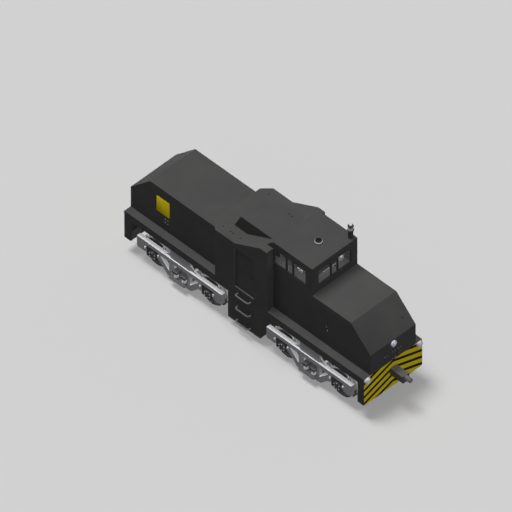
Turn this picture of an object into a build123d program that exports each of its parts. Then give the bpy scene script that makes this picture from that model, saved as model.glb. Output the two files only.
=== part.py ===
from build123d import *
import os
from math import cos, radians, sin

# A small diesel locomotive: a raised cab between a long rear hood and a short front hood, on a
# narrow underframe carried by two four-wheel bogies.
# Millimetres. +X is forward, +Y the left-hand side, +Z up. The origin is on the floor, midway
# between the couplers, level with the lowest point of the wheel flanges.

os.makedirs("parts", exist_ok=True)

# Underframe and deck
body_length = 9250.0        # over the two pilots
body_width = 2250.0
deck_z = 1480.0             # top of the deck
sill_depth = 250.0
deck_plate = 25.0
sill_plate = 80.0
centre_sill_y = 300.0
centre_sill_plate = 60.0
member_plate = 60.0
body_bolster = 500.0        # width of the cross-member over each bogie

# Pilots, the deep plates across both ends
pilot_thickness = 250.0
pilot_height = 1000.0
pilot_plate = 50.0
pilot_rib_y = 375.0

# Fuel tank between the bogies
tank_length = 1250.0
tank_height = 1000.0
tank_edge = 30.0

# Step rungs under each door
rung_width = 500.0
rung_reach = 100.0
rung_bar = 45.0
rung_corner = 60.0
rung_depths = (100.0, 600.0, 1100.0)     # below the deck

# Hoods
hood_width = 1750.0
hood_height = 1500.0
hood_wall = 40.0
hood_slope_length = 750.0          # along and up, where the end is cut off at 45 degrees
hood_edge = 12.0

# Wide part of the cab
cab_rear_x = -1375.0
cab_step_x = 875.0          # front of the wide part
cab_corner = 250.0
cab_wall = 80.0
roof_plate = 50.0
low_roof = 1750.0           # roof heights above the deck
high_roof = 2250.0
top_roof = 2500.0
ramp_rear_x = -375.0
ramp_front_x = 625.0
hump_width = 1250.0
hump_rear_x = -875.0
hump_ramp = 250.0
floor_plate = 30.0
floor_gap = 0.3

# Narrow, raised part of the cab, with the windows
cab_front_x = 2375.0
lower_skin = 100.0
window_height = 500.0
ledge_depth = 250.0         # the window ledges and corner posts
ledge_plate = 100.0
mullion_width = 40.0
mullion_depth = 50.0
side_mullions_x = (1375.0, 1625.0)
front_mullion_y = 125.0
glass_thickness = 8.0
glass_inset = 22.0

# Driver's place
platform_height = 750.0
platform_plate = 30.0
step_length = 250.0
seat_x = 1480.0
seat_y = 270.0
desk_depth = 330.0
desk_width = 620.0
desk_height = 880.0
desk_slope_depth = 120.0     # fall of the instrument panel
desk_edge_depth = 100.0
desk_belly_depth = 40.0
desk_leg_depth = 200.0
seat_base_radius = 150.0
seat_base_plate = 20.0
seat_column_radius = 45.0
seat_height = 400.0         # underside of the cushion
seat_width = 440.0
seat_corner = 60.0
cushion_height = 90.0
back_foot = 450.0           # foot and top of the seat's back, above the platform
back_top = 1000.0
back_width = 400.0
back_thickness = 75.0
back_rake = 70.0
stand_x = 1600.0
stand_y = -560.0
stand_radius = 60.0
stand_height = 900.0
stand_neck_radius = 40.0
stand_neck_height = 60.0
stand_handle_length = 220.0
stand_handle_width = 32.0
stand_handle_height = 26.0

# Doors
door_rear_x = -375.0
door_width = 750.0
door_height = 1500.0
door_sill = 100.0           # above the deck
door_thickness = 40.0
door_gap = 8.0
hinge_radius = 12.0
hinge_heights = (250.0, 750.0, 1250.0)  # above the bottom of the doorway
hinge_knuckle = 60.0
hinge_leaf = 4.0
hinge_standoff = 2.0        # from the wall's inner face to the knuckles
hinge_pin_radius = 5.0
hinge_play = 0.3            # round the pin and between knuckles
hinge_leaf_length = 48.0
handle_length = 130.0
handle_width = 26.0
handle_reach = 22.0
handle_inset = 90.0         # from the door's front edge

# Lamps, beacon and roof ventilator
lamp_radius = 100.0
lamp_depth = 75.0
lamp_rim = 12.0
headlamp_depth = 120.0       # headlamp's middle, below the foot of the hood's slope
marker_y = 1000.0
marker_depth = 100.0         # below the deck
beacon_x = 2237.5
beacon_y = 750.0
beacon_stem_radius = 80.0
beacon_stem_height = 275.0
beacon_collar_radius = 95.0
beacon_collar_height = 25.0
beacon_lens_radius = 70.0
beacon_lens_height = 110.0
beacon_cap_height = 90.0
beacon_cap_radius = 85.0
beacon_top_radius = 60.0
vent_x = 1750.0
vent_radius = 110.0
vent_height = 60.0
vent_rim = 15.0
vent_well_depth = 48.0

# Coupling gear
draft_length = 500.0
draft_width = 250.0
draft_height = 250.0
draft_edge = 20.0
shank_radius = 75.0
shank_depth = 85.0           # shank's middle, below the top of the draft box
shank_length = 200.0        # outside the draft box
shank_socket = 150.0
socket_gap = 0.3
head_length = 140.0
head_flat = 65.0            # half height over the flats
pin_radius = 20.0
pin_back = 60.0             # pin's middle, from the tip
link_slot = 44.0
tip_chamfer_length = 12.0

# Bogies
bogie_x = 2500.0            # bogie centres, front and rear of the middle
axle_x = 1062.5             # axles, each side of the bogie centre
axle_z = 488.0
frame_half = 1637.5
frame_inner = 1005.0        # inner and outer faces of the side frames
frame_outer = 1125.0
frame_top = 880.0
frame_flange = 140.0
flange_plate = 20.0
frame_end_z = 480.0
frame_end_chamfer_length = 30.0
pedestal_half = 240.0
pedestal_top = 755.0
chord_half = 450.0
chord_bottom = 187.5
chord_top = 280.0
window_top = 735.0
window_half = 315.0
post_width = 80.0
brace_width = 240.0         # level, across the 45 degree braces
window_corner = 18.0
transom_x = 470.0
transom_width = 80.0
transom_depth = 180.0

# Bogie bolster, springs and pivots
centre_plate_radius = 180.0
centre_plate_depth = 180.0
bowl_rim = 40.0
bowl_depth = 30.0
bowl_side_gap = 6.0
bowl_foot_reach = 45.0       # foot beyond the bowl's rim, and neck inside it
bowl_neck_inset = 34.0
pivot_gap = 0.3
bolster_half = 240.0
bolster_reach = 950.0
bolster_bottom = 620.0
bolster_depth = 160.0
spring_x = 150.0
spring_y = 1085.0
spring_radius = 72.0
spring_core = 58.0          # radius between the coils
spring_coils = 5
spring_cap_half = 90.0
spring_cap_inner = 850.0
spring_cap_outer = 1165.0
spring_cap_bottom = 460.0
spring_cap_plate = 70.0
plank_half = 295.0
plank_outer = 1245.0
plank_plate = 25.0
bearer_half = 375.0
bearer_inner = 985.0
bearer_outer = 1095.0
bearer_gap = 18.0           # under the side sill
gusset_reach = 220.0
gusset_height = 170.0
gusset_plate = 40.0

# Axle boxes
box_clearance = 0.3
box_bottom = 340.0
box_inner = 974.0
box_outer = 1085.0
box_cover_radius = 130.0
box_cover_outer = 1118.0
journal_radius = 60.0
journal_gap = 0.3
journal_end = 1055.0

# Wheels
tread_radius = 460.0
flange_height = 28.0
wheel_inner = 800.0         # back of the tyre
wheel_width = 135.0
flange_width = 32.0
tyre_depth = 68.0
web_thickness = 32.0
hub_radius = 135.0
hub_outer = 948.0
hub_inset = 15.0            # inner end of the hub, behind the tyre's back
web_blend = 25.0            # where the web thickens to the tyre
hub_blend = 10.0            # and to the hub
tread_bevel = 5.0
flange_tip = 8.0
axle_radius = 82.0
journal_blend = 10.0

# Brakes
shoe_gap = 8.0
shoe_depth = 34.0
shoe_width = 84.0
shoe_spread = 15.0          # half angle of a shoe
shoe_angle = -14.0          # its middle, from level with the axle
brake_beam_radius = 22.0
brake_beam_out = 520.0      # from the axle
hanger_pin_x = 330.0
hanger_pin_z = 930.0
hanger_bar = 40.0
hanger_plate = 24.0
hanger_y = 972.0            # outer face of the hangers and inner end of the lugs
lug_half = 32.0
lug_bottom = 820.0

# Engine
engine_x = -2600.0
engine_length = 2100.0
engine_width = 900.0
engine_height = 1200.0

# Places worked out from the sizes above
half_length = body_length / 2
half_width = body_width / 2
sill_z = deck_z - sill_depth
half_underframe = half_length - pilot_thickness
low_roof_z = deck_z + low_roof
high_roof_z = deck_z + high_roof
top_roof_z = deck_z + top_roof
window_z = high_roof_z - window_height
platform_z = deck_z + platform_height
half_hood = hood_width / 2
spring_bottom = chord_top + plank_plate
centre_plate_z = sill_z - centre_plate_depth


def save(piece, label):
    """Label a finished piece and write it as its own file."""
    piece.part.label = label
    export_step(piece.part, f"parts/{label}.step")


def block(x_range, y_range, z_range, mode=Mode.ADD):
    """A plain block between pairs of limits."""
    middle = tuple(sum(limits) / 2 for limits in (x_range, y_range, z_range))
    size = [abs(limits[1] - limits[0]) for limits in (x_range, y_range, z_range)]
    with Locations(middle):
        Box(*size, mode=mode)


def disc(x, y, z, radius, height):
    """A round upright piece standing at a place."""
    with Locations((x, y, z + height / 2)):
        Cylinder(radius, height)


def side_plane(x=0.0, y=0.0, z=0.0):
    """A plane seen from the right-hand side: its X is forward and its Y is up."""
    return Plane(origin=(x, y, z), x_dir=(1, 0, 0), z_dir=(0, -1, 0))


def outline(points):
    """A closed sketch face through the points."""
    Polygon(*points, align=None)


# Underframe: a deck plate on side sills, centre sills and cross-members, open from below.
# Cross-members of the front half: place along the length, width. The rear half mirrors them.
tank_member_x = (tank_length - member_plate) / 2
inner_member_x = (tank_length / 2 + bogie_x - body_bolster / 2) / 2
outer_member_x = (bogie_x + body_bolster / 2 + half_underframe) / 2
members = (
    (0, member_plate),
    (tank_member_x, member_plate),
    (inner_member_x, member_plate),
    (bogie_x, body_bolster),
    (outer_member_x, member_plate),
    (half_underframe - member_plate / 2, member_plate),
)
bays = []
for (x_in, width_in), (x_out, width_out) in zip(members, members[1:]):
    bay = (x_in + width_in / 2, x_out - width_out / 2)
    bays += [bay, (-bay[1], -bay[0])]
centre_sill_in = centre_sill_y - centre_sill_plate / 2
centre_sill_out = centre_sill_y + centre_sill_plate / 2
side_sill_in = half_width - sill_plate
bay_rows = (
    (-side_sill_in, -centre_sill_out),
    (-centre_sill_in, centre_sill_in),
    (centre_sill_out, side_sill_in),
)
with BuildPart() as underframe:
    with BuildSketch(Plane.XY.offset(sill_z)):
        Rectangle(2 * half_underframe, body_width)
    extrude(amount=sill_depth)
    with BuildSketch(Plane.XY.offset(sill_z)):
        for x_from, x_to in bays:
            for y_from, y_to in bay_rows:
                with Locations(((x_from + x_to) / 2, (y_from + y_to) / 2)):
                    Rectangle(x_to - x_from, y_to - y_from)
    extrude(amount=sill_depth - deck_plate, mode=Mode.SUBTRACT)
    with BuildSketch(Plane.XY.offset(sill_z)):
        with Locations((bogie_x, 0), (-bogie_x, 0)):
            Circle(centre_plate_radius)
    extrude(amount=-centre_plate_depth)
save(underframe, "underframe")


def pilot(end):
    """Deep plate across one end, with ribs behind it. end is 1 at the front and -1 at the rear."""
    outer_x = end * half_length
    inner_x = end * half_underframe
    pocket_x = outer_x - end * pilot_plate
    pilot_z = deck_z - pilot_height
    pocket_z = (pilot_z + pilot_plate, sill_z - pilot_plate)
    edge_y = half_width - pilot_plate
    rib_half = pilot_plate / 2
    pockets_y = (
        (-edge_y, -pilot_rib_y - rib_half),
        (-pilot_rib_y + rib_half, pilot_rib_y - rib_half),
        (pilot_rib_y + rib_half, edge_y),
    )
    with BuildPart() as plate:
        block((inner_x, outer_x), (-half_width, half_width), (pilot_z, deck_z))
        for pocket_y in pockets_y:
            block((inner_x, pocket_x), pocket_y, pocket_z, Mode.SUBTRACT)
    return plate


save(pilot(1), "front_pilot")
save(pilot(-1), "rear_pilot")

# Fuel tank: fills the space between the bogies, flush with the sills.
with BuildPart() as fuel_tank:
    block(
        (-tank_length / 2, tank_length / 2),
        (-half_width, half_width),
        (sill_z - tank_height, sill_z),
    )
    lower_edges = fuel_tank.edges().group_by(Axis.Z)[0]
    fillet(lower_edges, tank_edge)
save(fuel_tank, "fuel_tank")


# Step rungs: three bent bars, one above another, under each door.
with BuildPart() as step_rungs:
    for side in (-1, 1):
        wall_y = side * half_width
        out_y = side * (half_width + rung_reach)
        for drop in rung_depths:
            rung_z = deck_z - drop
            corners = (
                (-rung_width / 2, wall_y, rung_z),
                (-rung_width / 2, out_y, rung_z),
                (rung_width / 2, out_y, rung_z),
                (rung_width / 2, wall_y, rung_z),
            )
            with BuildLine() as path:
                FilletPolyline(*corners, radius=rung_corner)
            with BuildSketch(Plane(origin=corners[0], z_dir=(0, side, 0))):
                Circle(rung_bar / 2)
            sweep(path=path.wires()[0])
save(step_rungs, "step_rungs")


def hood(cab_x, end_x):
    """A sheet-metal hood, open below and towards the cab, its far end cut off at 45 degrees."""
    end = 1 if end_x > cab_x else -1
    top_z = deck_z + hood_height
    with BuildPart() as shell:
        with BuildSketch(side_plane()):
            outline((
                (cab_x, deck_z),
                (end_x, deck_z),
                (end_x, top_z - hood_slope_length),
                (end_x - end * hood_slope_length, top_z),
                (cab_x, top_z),
            ))
        extrude(amount=half_hood, both=True)
        bottom = shell.faces().sort_by(Axis.Z)[0]
        cab_end = shell.faces().sort_by(Axis.X)[0 if end == 1 else -1]
        offset(amount=-hood_wall, openings=[bottom, cab_end])
        long_edges = shell.edges().filter_by(Axis.X).group_by(Axis.Z)[-1]
        fillet(long_edges, hood_edge)
    return shell


save(hood(cab_rear_x, -half_length), "rear_hood")
save(hood(cab_front_x, half_length), "front_hood")

# Engine: one plain block, bolted to the deck inside the long hood.
with BuildPart() as engine:
    block(
        (engine_x - engine_length / 2, engine_x + engine_length / 2),
        (-engine_width / 2, engine_width / 2),
        (deck_z, deck_z + engine_height),
    )
save(engine, "engine")


# Wide part of the cab
# Its plan is a rectangle with the two rear corners cut off, and its walls follow that plan.
with BuildSketch() as cab_plan:
    outline((
        (cab_rear_x, half_width - cab_corner),
        (cab_rear_x + cab_corner, half_width),
        (cab_step_x, half_width),
        (cab_step_x, -half_width),
        (cab_rear_x + cab_corner, -half_width),
        (cab_rear_x, -half_width + cab_corner),
    ))
with BuildSketch() as cab_inside:
    add(cab_plan.sketch)
    offset(amount=-cab_wall, kind=Kind.INTERSECTION, mode=Mode.REPLACE)


def roof_line(drop):
    """The side strips' roof line in elevation, lowered by drop."""
    return (
        (cab_rear_x, low_roof_z - drop),
        (ramp_rear_x, low_roof_z - drop),
        (ramp_front_x, high_roof_z - drop),
        (cab_step_x, high_roof_z - drop),
    )


def cab_walls(x_range, y_range):
    """The cab's walls, within limits in plan, from the deck up to the underside of the roof."""
    with BuildPart() as walls:
        with BuildSketch(Plane.XY.offset(deck_z)):
            add(cab_plan.sketch)
            add(cab_inside.sketch, mode=Mode.SUBTRACT)
            with Locations((sum(x_range) / 2, sum(y_range) / 2)):
                Rectangle(
                    x_range[1] - x_range[0],
                    y_range[1] - y_range[0],
                    mode=Mode.INTERSECT,
                )
        extrude(amount=high_roof)
        with BuildSketch(side_plane()):
            outline((
                (cab_rear_x, top_roof_z),
                *roof_line(roof_plate),
                (cab_step_x, top_roof_z),
            ))
        extrude(amount=half_width, both=True, mode=Mode.SUBTRACT)
    return walls


hinge_x = door_rear_x - hinge_radius + hinge_standoff
hinge_y = half_width - cab_wall - hinge_radius - hinge_standoff
doorway_z = deck_z + door_sill


def wall_hinges(side):
    """Hinges at a doorway's rear edge: two knuckles on the wall, with a pin through both."""
    axis_y = side * hinge_y
    wall_y = side * (half_width - cab_wall)
    for height in hinge_heights:
        middle_z = doorway_z + height
        step = hinge_knuckle + hinge_play
        with Locations((hinge_x, axis_y, middle_z)):
            Cylinder(hinge_pin_radius, 3 * hinge_knuckle)
        for knuckle_z in (middle_z - step, middle_z + step):
            with Locations((hinge_x, axis_y, knuckle_z)):
                Cylinder(hinge_radius, hinge_knuckle)
            leaf_z = (knuckle_z - hinge_knuckle / 2, knuckle_z + hinge_knuckle / 2)
            block((hinge_x - hinge_leaf_length, hinge_x), (axis_y, wall_y), leaf_z)


def door_hinges(side):
    """The door's knuckles, bored for the pins, with leaves that reach round the door's edge."""
    axis_y = side * hinge_y
    wall_y = side * (half_width - cab_wall)
    door_edge = door_rear_x + door_gap
    for height in hinge_heights:
        middle_z = doorway_z + height
        leaf_z = (middle_z - hinge_knuckle / 2, middle_z + hinge_knuckle / 2)
        with Locations((hinge_x, axis_y, middle_z)):
            Cylinder(hinge_radius, hinge_knuckle)
        block((hinge_x, door_edge), (axis_y, axis_y + side * hinge_leaf), leaf_z)
        block((door_edge, door_edge + hinge_leaf_length), (axis_y, wall_y), leaf_z)
        with Locations((hinge_x, axis_y, middle_z)):
            Cylinder(hinge_pin_radius + hinge_play, 2 * hinge_knuckle, mode=Mode.SUBTRACT)


def cab_side(side):
    """One side wall with its doorway, and the short wall that turns in at the front."""
    x_range = (cab_rear_x + cab_corner, cab_step_x)
    y_range = sorted((side * half_width, side * half_hood))
    walls = cab_walls(x_range, y_range)
    with BuildPart() as wall:
        add(walls.part)
        block(
            (door_rear_x, door_rear_x + door_width),
            (side * (half_width - cab_wall), side * half_width),
            (doorway_z, doorway_z + door_height),
            Mode.SUBTRACT,
        )
        wall_hinges(side)
    return wall


def door(side):
    """One door: set back from the wall's outer face and flush with its inner face."""
    inner_y = side * (half_width - cab_wall)
    outer_y = inner_y + side * door_thickness
    front_x = door_rear_x + door_width - door_gap
    handle_z = doorway_z + door_height / 2
    with BuildPart() as leaf:
        block(
            (door_rear_x + door_gap, front_x),
            (inner_y, outer_y),
            (doorway_z + door_gap, doorway_z + door_height - door_gap),
        )
        handle = Plane(origin=(front_x - handle_inset, outer_y, handle_z), z_dir=(0, side, 0))
        with BuildSketch(handle):
            SlotOverall(handle_length, handle_width)
        extrude(amount=handle_reach)
        door_hinges(side)
    return leaf


for side_name, side in (("right", -1), ("left", 1)):
    save(cab_side(side), f"cab_side_{side_name}")
    save(door(side), f"door_{side_name}")

cab_rear = cab_walls((cab_rear_x, cab_rear_x + cab_corner), (-half_width, half_width))
save(cab_rear, "cab_rear")

# Roof over the wide part: low strips each side that ramp up towards the front, and a hump between.
inside_hump = hump_width / 2 - roof_plate
with BuildPart() as cab_roof:
    with BuildSketch(side_plane()):
        outline((*roof_line(0), *reversed(roof_line(roof_plate))))
    extrude(amount=half_width, both=True)
    with BuildSketch(side_plane()):
        outline((
            (hump_rear_x, low_roof_z - roof_plate),
            (hump_rear_x, low_roof_z),
            (hump_rear_x + hump_ramp, high_roof_z),
            (cab_step_x, high_roof_z),
            (cab_step_x, low_roof_z - roof_plate),
        ))
    extrude(amount=hump_width / 2, both=True)
    with BuildSketch(side_plane()):
        outline((
            (hump_rear_x + roof_plate, low_roof_z - roof_plate),
            (hump_rear_x + hump_ramp + roof_plate, high_roof_z - roof_plate),
            (cab_step_x, high_roof_z - roof_plate),
            (cab_step_x, low_roof_z - roof_plate),
        ))
    extrude(amount=inside_hump, both=True, mode=Mode.SUBTRACT)
    with BuildSketch(Plane.XY.offset(deck_z)):
        add(cab_plan.sketch)
    extrude(amount=top_roof, mode=Mode.INTERSECT)
save(cab_roof, "cab_roof")

# Cab floor: a plate just inside the walls, on the deck, up to the driver's step.
floor_front_x = cab_step_x - step_length - floor_gap
with BuildPart() as cab_floor:
    with BuildSketch(Plane.XY.offset(deck_z)):
        add(cab_inside.sketch)
        offset(amount=-floor_gap, kind=Kind.INTERSECTION, mode=Mode.REPLACE)
        with Locations((floor_front_x + body_length / 2, 0)):
            Rectangle(body_length, body_width, mode=Mode.SUBTRACT)
    extrude(amount=floor_plate)
save(cab_floor, "cab_floor")


# Narrow part of the cab
post_x = cab_front_x - ledge_depth
inner_ledge_y = half_hood - ledge_depth


def window_side(side):
    """Side wall of the narrow part: skin, window ledge, corner post, jamb and mullions."""
    outer_y = side * half_hood
    skin_y = side * (half_hood - lower_skin)
    ledge_y = side * inner_ledge_y
    bar_y = side * (half_hood - mullion_depth)
    bars = [cab_step_x + mullion_width / 2, *side_mullions_x]
    with BuildPart() as wall:
        block((cab_step_x, cab_front_x), (skin_y, outer_y), (deck_z, window_z))
        block((cab_step_x, cab_front_x), (ledge_y, outer_y), (window_z - ledge_plate, window_z))
        block((post_x, cab_front_x), (ledge_y, outer_y), (window_z, high_roof_z))
        for bar_x in bars:
            bar = (bar_x - mullion_width / 2, bar_x + mullion_width / 2)
            block(bar, (bar_y, outer_y), (window_z, high_roof_z))
    return wall


for side_name, side in (("right", -1), ("left", 1)):
    save(window_side(side), f"window_wall_{side_name}")

# Front wall between the side walls: skin, window ledge and two mullions.
with BuildPart() as window_wall_front:
    skin_y = half_hood - lower_skin
    block(
        (cab_front_x - lower_skin, cab_front_x),
        (-skin_y, skin_y),
        (deck_z, window_z - ledge_plate),
    )
    block(
        (post_x, cab_front_x),
        (-inner_ledge_y, inner_ledge_y),
        (window_z - ledge_plate, window_z),
    )
    for bar_y in (-front_mullion_y, front_mullion_y):
        block(
            (cab_front_x - mullion_depth, cab_front_x),
            (bar_y - mullion_width / 2, bar_y + mullion_width / 2),
            (window_z, high_roof_z),
        )
save(window_wall_front, "window_wall_front")

# Roof over the narrow part: a deep fascia all round, sloped at the rear and hollow below.
with BuildPart() as top_roof_panel:
    with BuildSketch(side_plane()):
        outline((
            (ramp_front_x, high_roof_z),
            (cab_step_x, top_roof_z),
            (cab_front_x, top_roof_z),
            (cab_front_x, high_roof_z),
        ))
    extrude(amount=half_hood, both=True)
    block(
        (cab_step_x + roof_plate, cab_front_x - roof_plate),
        (-half_hood + roof_plate, half_hood - roof_plate),
        (high_roof_z, top_roof_z - roof_plate),
        Mode.SUBTRACT,
    )
save(top_roof_panel, "top_roof")


# Window glass: a pane between each two of jamb, mullions and corner posts.
bar_half = mullion_width / 2
side_stops = (cab_step_x + bar_half, *side_mullions_x, post_x + bar_half)
front_stops = (
    -inner_ledge_y - bar_half,
    -front_mullion_y,
    front_mullion_y,
    inner_ledge_y + bar_half,
)
with BuildPart() as window_glass:
    for side in (-1, 1):
        pane_y = side * (half_hood - glass_inset)
        for x_from, x_to in zip(side_stops, side_stops[1:]):
            block(
                (x_from + bar_half, x_to - bar_half),
                (pane_y, pane_y - side * glass_thickness),
                (window_z, high_roof_z),
            )
    pane_x = cab_front_x - glass_inset
    for y_from, y_to in zip(front_stops, front_stops[1:]):
        block(
            (pane_x - glass_thickness, pane_x),
            (y_from + bar_half, y_to - bar_half),
            (window_z, high_roof_z),
        )
save(window_glass, "window_glass")


# Driver's place
# Raised platform with a step up to it, hollow below.
platform_half = half_hood - lower_skin - floor_gap
platform_front_x = cab_front_x - lower_skin - floor_gap
step_z = (deck_z + platform_z) / 2
with BuildPart() as platform:
    with BuildSketch(side_plane()):
        outline((
            (cab_step_x - step_length, deck_z),
            (cab_step_x - step_length, step_z),
            (cab_step_x, step_z),
            (cab_step_x, platform_z),
            (platform_front_x, platform_z),
            (platform_front_x, deck_z),
        ))
    extrude(amount=platform_half, both=True)
    under = platform.faces().sort_by(Axis.Z)[0]
    offset(amount=-platform_plate, openings=[under])
save(platform, "driver_platform")

# Control desk under the front windows on the driver's side, with a raised instrument panel.
desk_front_x = platform_front_x
desk_z = platform_z + desk_height
desk_edge_z = desk_z - desk_slope_depth
with BuildPart() as control_desk:
    with BuildSketch(side_plane(y=seat_y)):
        outline((
            (desk_front_x, platform_z),
            (desk_front_x, desk_z),
            (desk_front_x - desk_depth / 2, desk_z),
            (desk_front_x - desk_depth, desk_edge_z),
            (desk_front_x - desk_depth, desk_edge_z - desk_edge_depth),
            (desk_front_x - desk_leg_depth, desk_edge_z - desk_edge_depth - desk_belly_depth),
            (desk_front_x - desk_leg_depth, platform_z),
        ))
    extrude(amount=desk_width / 2, both=True)
save(control_desk, "control_desk")


# Driver's seat: pedestal, cushion and a back that leans to the rear.
cushion_z = platform_z + seat_height
back_rear_x = seat_x - seat_width / 2
with BuildPart() as driver_seat:
    disc(seat_x, seat_y, platform_z, seat_base_radius, seat_base_plate)
    disc(seat_x, seat_y, platform_z, seat_column_radius, seat_height)
    with BuildSketch(Plane(origin=(seat_x, seat_y, cushion_z))):
        RectangleRounded(seat_width, seat_width, seat_corner)
    extrude(amount=cushion_height)
    with BuildSketch(side_plane(y=seat_y)):
        outline((
            (back_rear_x, platform_z + back_foot),
            (back_rear_x - back_rake, platform_z + back_top),
            (back_rear_x - back_rake + back_thickness, platform_z + back_top),
            (back_rear_x + back_thickness, platform_z + back_foot),
        ))
    extrude(amount=back_width / 2, both=True)
save(driver_seat, "driver_seat")

# Brake stand: a column with a cross handle, by the right-hand windows.
stand_top_z = platform_z + stand_height
with BuildPart() as brake_stand:
    disc(stand_x, stand_y, platform_z, stand_radius, stand_height)
    disc(stand_x, stand_y, stand_top_z, stand_neck_radius, stand_neck_height)
    with BuildSketch(Plane(origin=(stand_x, stand_y, stand_top_z + stand_neck_height))):
        SlotOverall(stand_handle_length, stand_handle_width)
    extrude(amount=stand_handle_height)
save(brake_stand, "brake_stand")


# Lamps: at each end a headlamp on the hood and a marker lamp at each side of the pilot. Each has
# a rim and a domed lens inside it.
headlamp_z = deck_z + hood_height - hood_slope_length - headlamp_depth
marker_z = deck_z - marker_depth
lamp_places = ((0, headlamp_z), (-marker_y, marker_z), (marker_y, marker_z))
lamp_dome = lamp_depth / 3
lamp_planes = [
    Plane(origin=(end * half_length, lamp_y, lamp_z), x_dir=(0, 1, 0), z_dir=(end, 0, 0))
    for end in (-1, 1)
    for lamp_y, lamp_z in lamp_places
]
with BuildPart() as lamp_rims:
    for face in lamp_planes:
        with BuildSketch(face):
            Circle(lamp_radius)
            Circle(lamp_radius - lamp_rim, mode=Mode.SUBTRACT)
        extrude(amount=lamp_depth - lamp_dome)
save(lamp_rims, "lamp_rims")

with BuildPart() as lamps:
    for face in lamp_planes:
        with BuildSketch(face):
            Circle(lamp_radius - lamp_rim)
        extrude(amount=lamp_depth)
    circles = lamps.edges().filter_by(GeomType.CIRCLE).group_by(Axis.X)
    fillet([*circles[0], *circles[-1]], lamp_dome)
save(lamps, "lamps")

# Beacon on the roof's front left corner: dark base, lens and cap.
lens_foot = beacon_stem_height + beacon_collar_height
lens_head = lens_foot + beacon_lens_height
# Each row: foot above the roof, height, radius.
beacon_steps = (
    (0, beacon_stem_height, beacon_stem_radius),
    (beacon_stem_height, beacon_collar_height, beacon_collar_radius),
    (lens_head, beacon_cap_height / 2, beacon_cap_radius),
    (lens_head + beacon_cap_height / 2, beacon_cap_height / 2, beacon_top_radius),
)
with BuildPart() as beacon:
    for foot, height, radius in beacon_steps:
        disc(beacon_x, beacon_y, top_roof_z + foot, radius, height)
save(beacon, "beacon")

with BuildPart() as beacon_lens:
    disc(beacon_x, beacon_y, top_roof_z + lens_foot, beacon_lens_radius, beacon_lens_height)
save(beacon_lens, "beacon_lens")

# Roof ventilator: an open ring over a shallow well.
with BuildPart() as roof_vent:
    disc(vent_x, 0, top_roof_z, vent_radius, vent_height)
    with BuildSketch(Plane(origin=(vent_x, 0, top_roof_z + vent_height))):
        Circle(vent_radius - vent_rim)
    extrude(amount=-vent_well_depth, mode=Mode.SUBTRACT)
save(roof_vent, "roof_vent")


# Coupling gear: a draft box on each pilot, and a drawhead with a link slot and a pin hole.
shank_z = sill_z - shank_depth
tip_x = half_length + draft_length + shank_length


with BuildPart() as draft_boxes:
    for end in (-1, 1):
        out_x = end * (half_length + draft_length)
        block(
            (end * half_length, out_x),
            (-draft_width / 2, draft_width / 2),
            (sill_z - draft_height, sill_z),
        )
    fillet(draft_boxes.edges().filter_by(Axis.X), draft_edge)
    for end in (-1, 1):
        out_x = end * (half_length + draft_length)
        with BuildSketch(Plane(origin=(out_x, 0, shank_z), x_dir=(0, 1, 0), z_dir=(-end, 0, 0))):
            Circle(shank_radius + socket_gap)
        extrude(amount=shank_socket, mode=Mode.SUBTRACT)
save(draft_boxes, "draft_boxes")

with BuildPart() as drawheads:
    for end in (-1, 1):
        back_x = end * (half_length + draft_length - shank_socket)
        with BuildSketch(Plane(origin=(back_x, 0, shank_z), x_dir=(0, 1, 0), z_dir=(end, 0, 0))):
            Circle(shank_radius)
        extrude(amount=shank_socket + shank_length)
    circles = drawheads.edges().filter_by(GeomType.CIRCLE).group_by(Axis.X)
    chamfer([*circles[0], *circles[-1]], tip_chamfer_length)
    for end in (-1, 1):
        head_range = (end * (tip_x - head_length), end * tip_x)
        across = (-shank_radius, shank_radius)
        for low, high in (
            (-shank_radius, -head_flat),
            (-link_slot / 2, link_slot / 2),
            (head_flat, shank_radius),
        ):
            block(head_range, across, (shank_z + low, shank_z + high), Mode.SUBTRACT)
        with BuildSketch(Plane.XY.offset(shank_z - shank_radius)):
            with Locations((end * (tip_x - pin_back), 0)):
                Circle(pin_radius)
        extrude(amount=2 * shank_radius, mode=Mode.SUBTRACT)
save(drawheads, "drawheads")


# Bogies
def mirrored(points):
    """A half outline, from the middle of the top forwards and down, with its mirror image."""
    return (*points, *((-x, z) for x, z in reversed(points)))


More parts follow.
